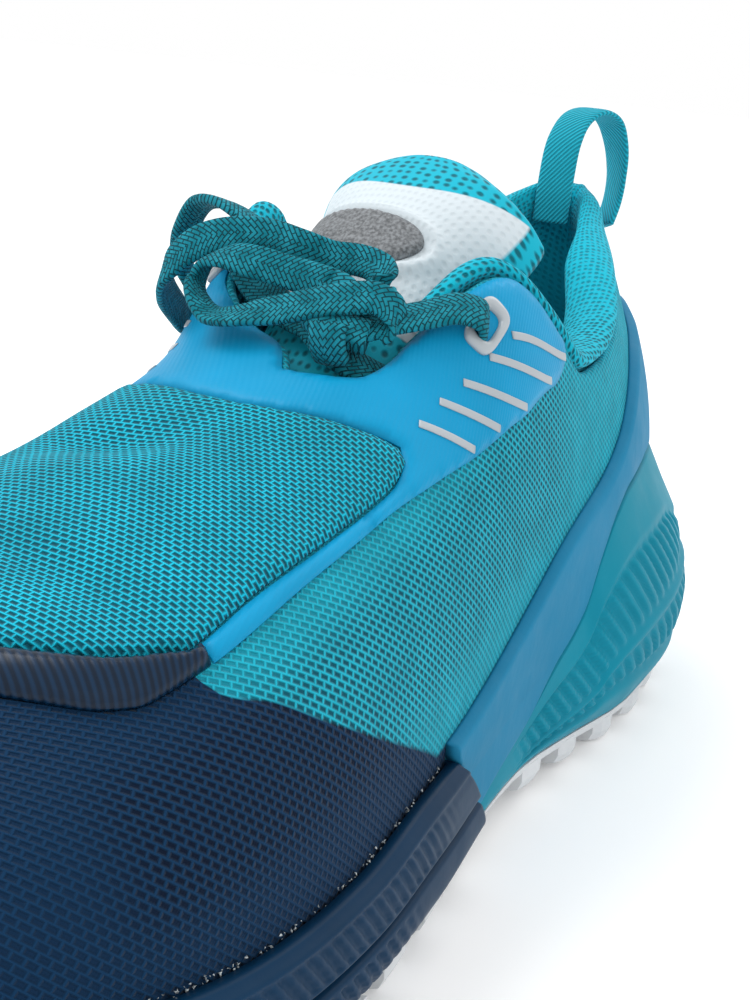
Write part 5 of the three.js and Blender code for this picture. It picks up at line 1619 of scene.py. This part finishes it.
# Route of the pull loop, from inside the collar over to the back of the heel
LOOP = [
    (23.2, -5.6, 98), (22.8, -5.6, 107), (20.6, -5.6, 116.4), (15.8, -5, 121.6), (10.8, -3, 123.4),
    (6.0, -1, 121.6), (3.2, 0.4, 116.4), (1.2, 0.8, 109.4), (1.2, 0.7, 104), (4.2, 0.5, 97.5),
]
LOOP_ACROSS = [(-0.4, 1, 0), (-0.35, 1, 0), (0, 1, 0), (0.3, 0.9, 0), (0.6, 0.75, 0), (0.7, 0.7, 0)]
LOOP_WIDTH = 8.0
LOOP_THICKNESS = 1.6


class SHOE_OT_pull_loop(bpy.types.Operator):
    """Woven pull loop at the back of the collar"""

    bl_idname = "shoe.pull_loop"
    bl_label = "Pull loop"
    bl_options = {"REGISTER", "UNDO"}

    def execute(self, context):
        ribbon(
            "pull_loop_webbing", LOOP, LOOP_WIDTH, LOOP_THICKNESS, LOOP_ACROSS, "webbing",
            webbing_finish(), replaces=("pull_loop",),
        )
        return {"FINISHED"}


FLECKS = 150
FLECK_FACES = [
    (0, 1, 2), (0, 2, 3), (0, 3, 4), (0, 4, 1), (5, 2, 1), (5, 3, 2), (5, 4, 3), (5, 1, 4),
]


class SHOE_OT_specks(bpy.types.Operator):
    """Small pale flecks of dried glue along the line where the mesh meets the forefoot's lip"""

    bl_idname = "shoe.specks"
    bl_label = "Glue flecks"
    bl_options = {"REGISTER", "UNDO"}

    def execute(self, context):
        random.seed(7)
        points, faces = [], []
        for _ in range(FLECKS):
            t = random.uniform(7.6, 11.5)
            u = t if random.random() < 0.75 else TURNS - t
            height = float(fore_rim(t)) * RIM_BALL + random.uniform(-0.2, 0.9)
            centre = flank(u, height, random.uniform(0.25, 0.6))
            size = random.uniform(0.12, 0.42)
            start = len(points)
            for _ in range(6):
                wobble = [random.gauss(0, 0.5) * size for _ in range(3)]
                points.append(centre + np.array(wobble))
            faces += [tuple(start + corner for corner in face) for face in FLECK_FACES]
        finish = Finish("dried_glue", 0.6)
        finish.set("Base Color", (0.6, 0.66, 0.68, 1))
        store("glue_flecks", points, faces, "eyelet_plastic", finish.material)
        return {"FINISHED"}


OPERATORS = (
    SHOE_OT_stage, SHOE_OT_laces, SHOE_OT_upper, SHOE_OT_vamp, SHOE_OT_trim, SHOE_OT_sole, SHOE_OT_band,
    SHOE_OT_collar, SHOE_OT_tongue, SHOE_OT_pull_loop, SHOE_OT_specks,
)


class SHOE_PT_panel(bpy.types.Panel):
    """Sizes, colours and the pieces of the shoe"""

    bl_idname = "SHOE_PT_panel"
    bl_label = "Trail Running Shoe"
    bl_space_type = "VIEW_3D"
    bl_region_type = "UI"
    bl_category = "Shoe"

    def draw(self, context):
        for group in (context.scene.trail_shoe_sizes, context.scene.trail_shoe_colours):
            box = self.layout.box()
            for name in group.__annotations__:
                box.prop(group, name)
        for operator in OPERATORS:
            self.layout.operator(operator.bl_idname)


CLASSES = (ShoeSizes, ShoeColours, *OPERATORS, SHOE_PT_panel)


def register():
    for cls in CLASSES:
        bpy.utils.register_class(cls)
    bpy.types.Scene.trail_shoe_sizes = bpy.props.PointerProperty(type=ShoeSizes)
    bpy.types.Scene.trail_shoe_colours = bpy.props.PointerProperty(type=ShoeColours)


def unregister():
    del bpy.types.Scene.trail_shoe_colours
    del bpy.types.Scene.trail_shoe_sizes
    for cls in reversed(CLASSES):
        bpy.utils.unregister_class(cls)


def main():
    register()
    for operator in OPERATORS:
        family, name = operator.bl_idname.split(".")
        getattr(getattr(bpy.ops, family), name)()


if __name__ == "__main__":
    main()
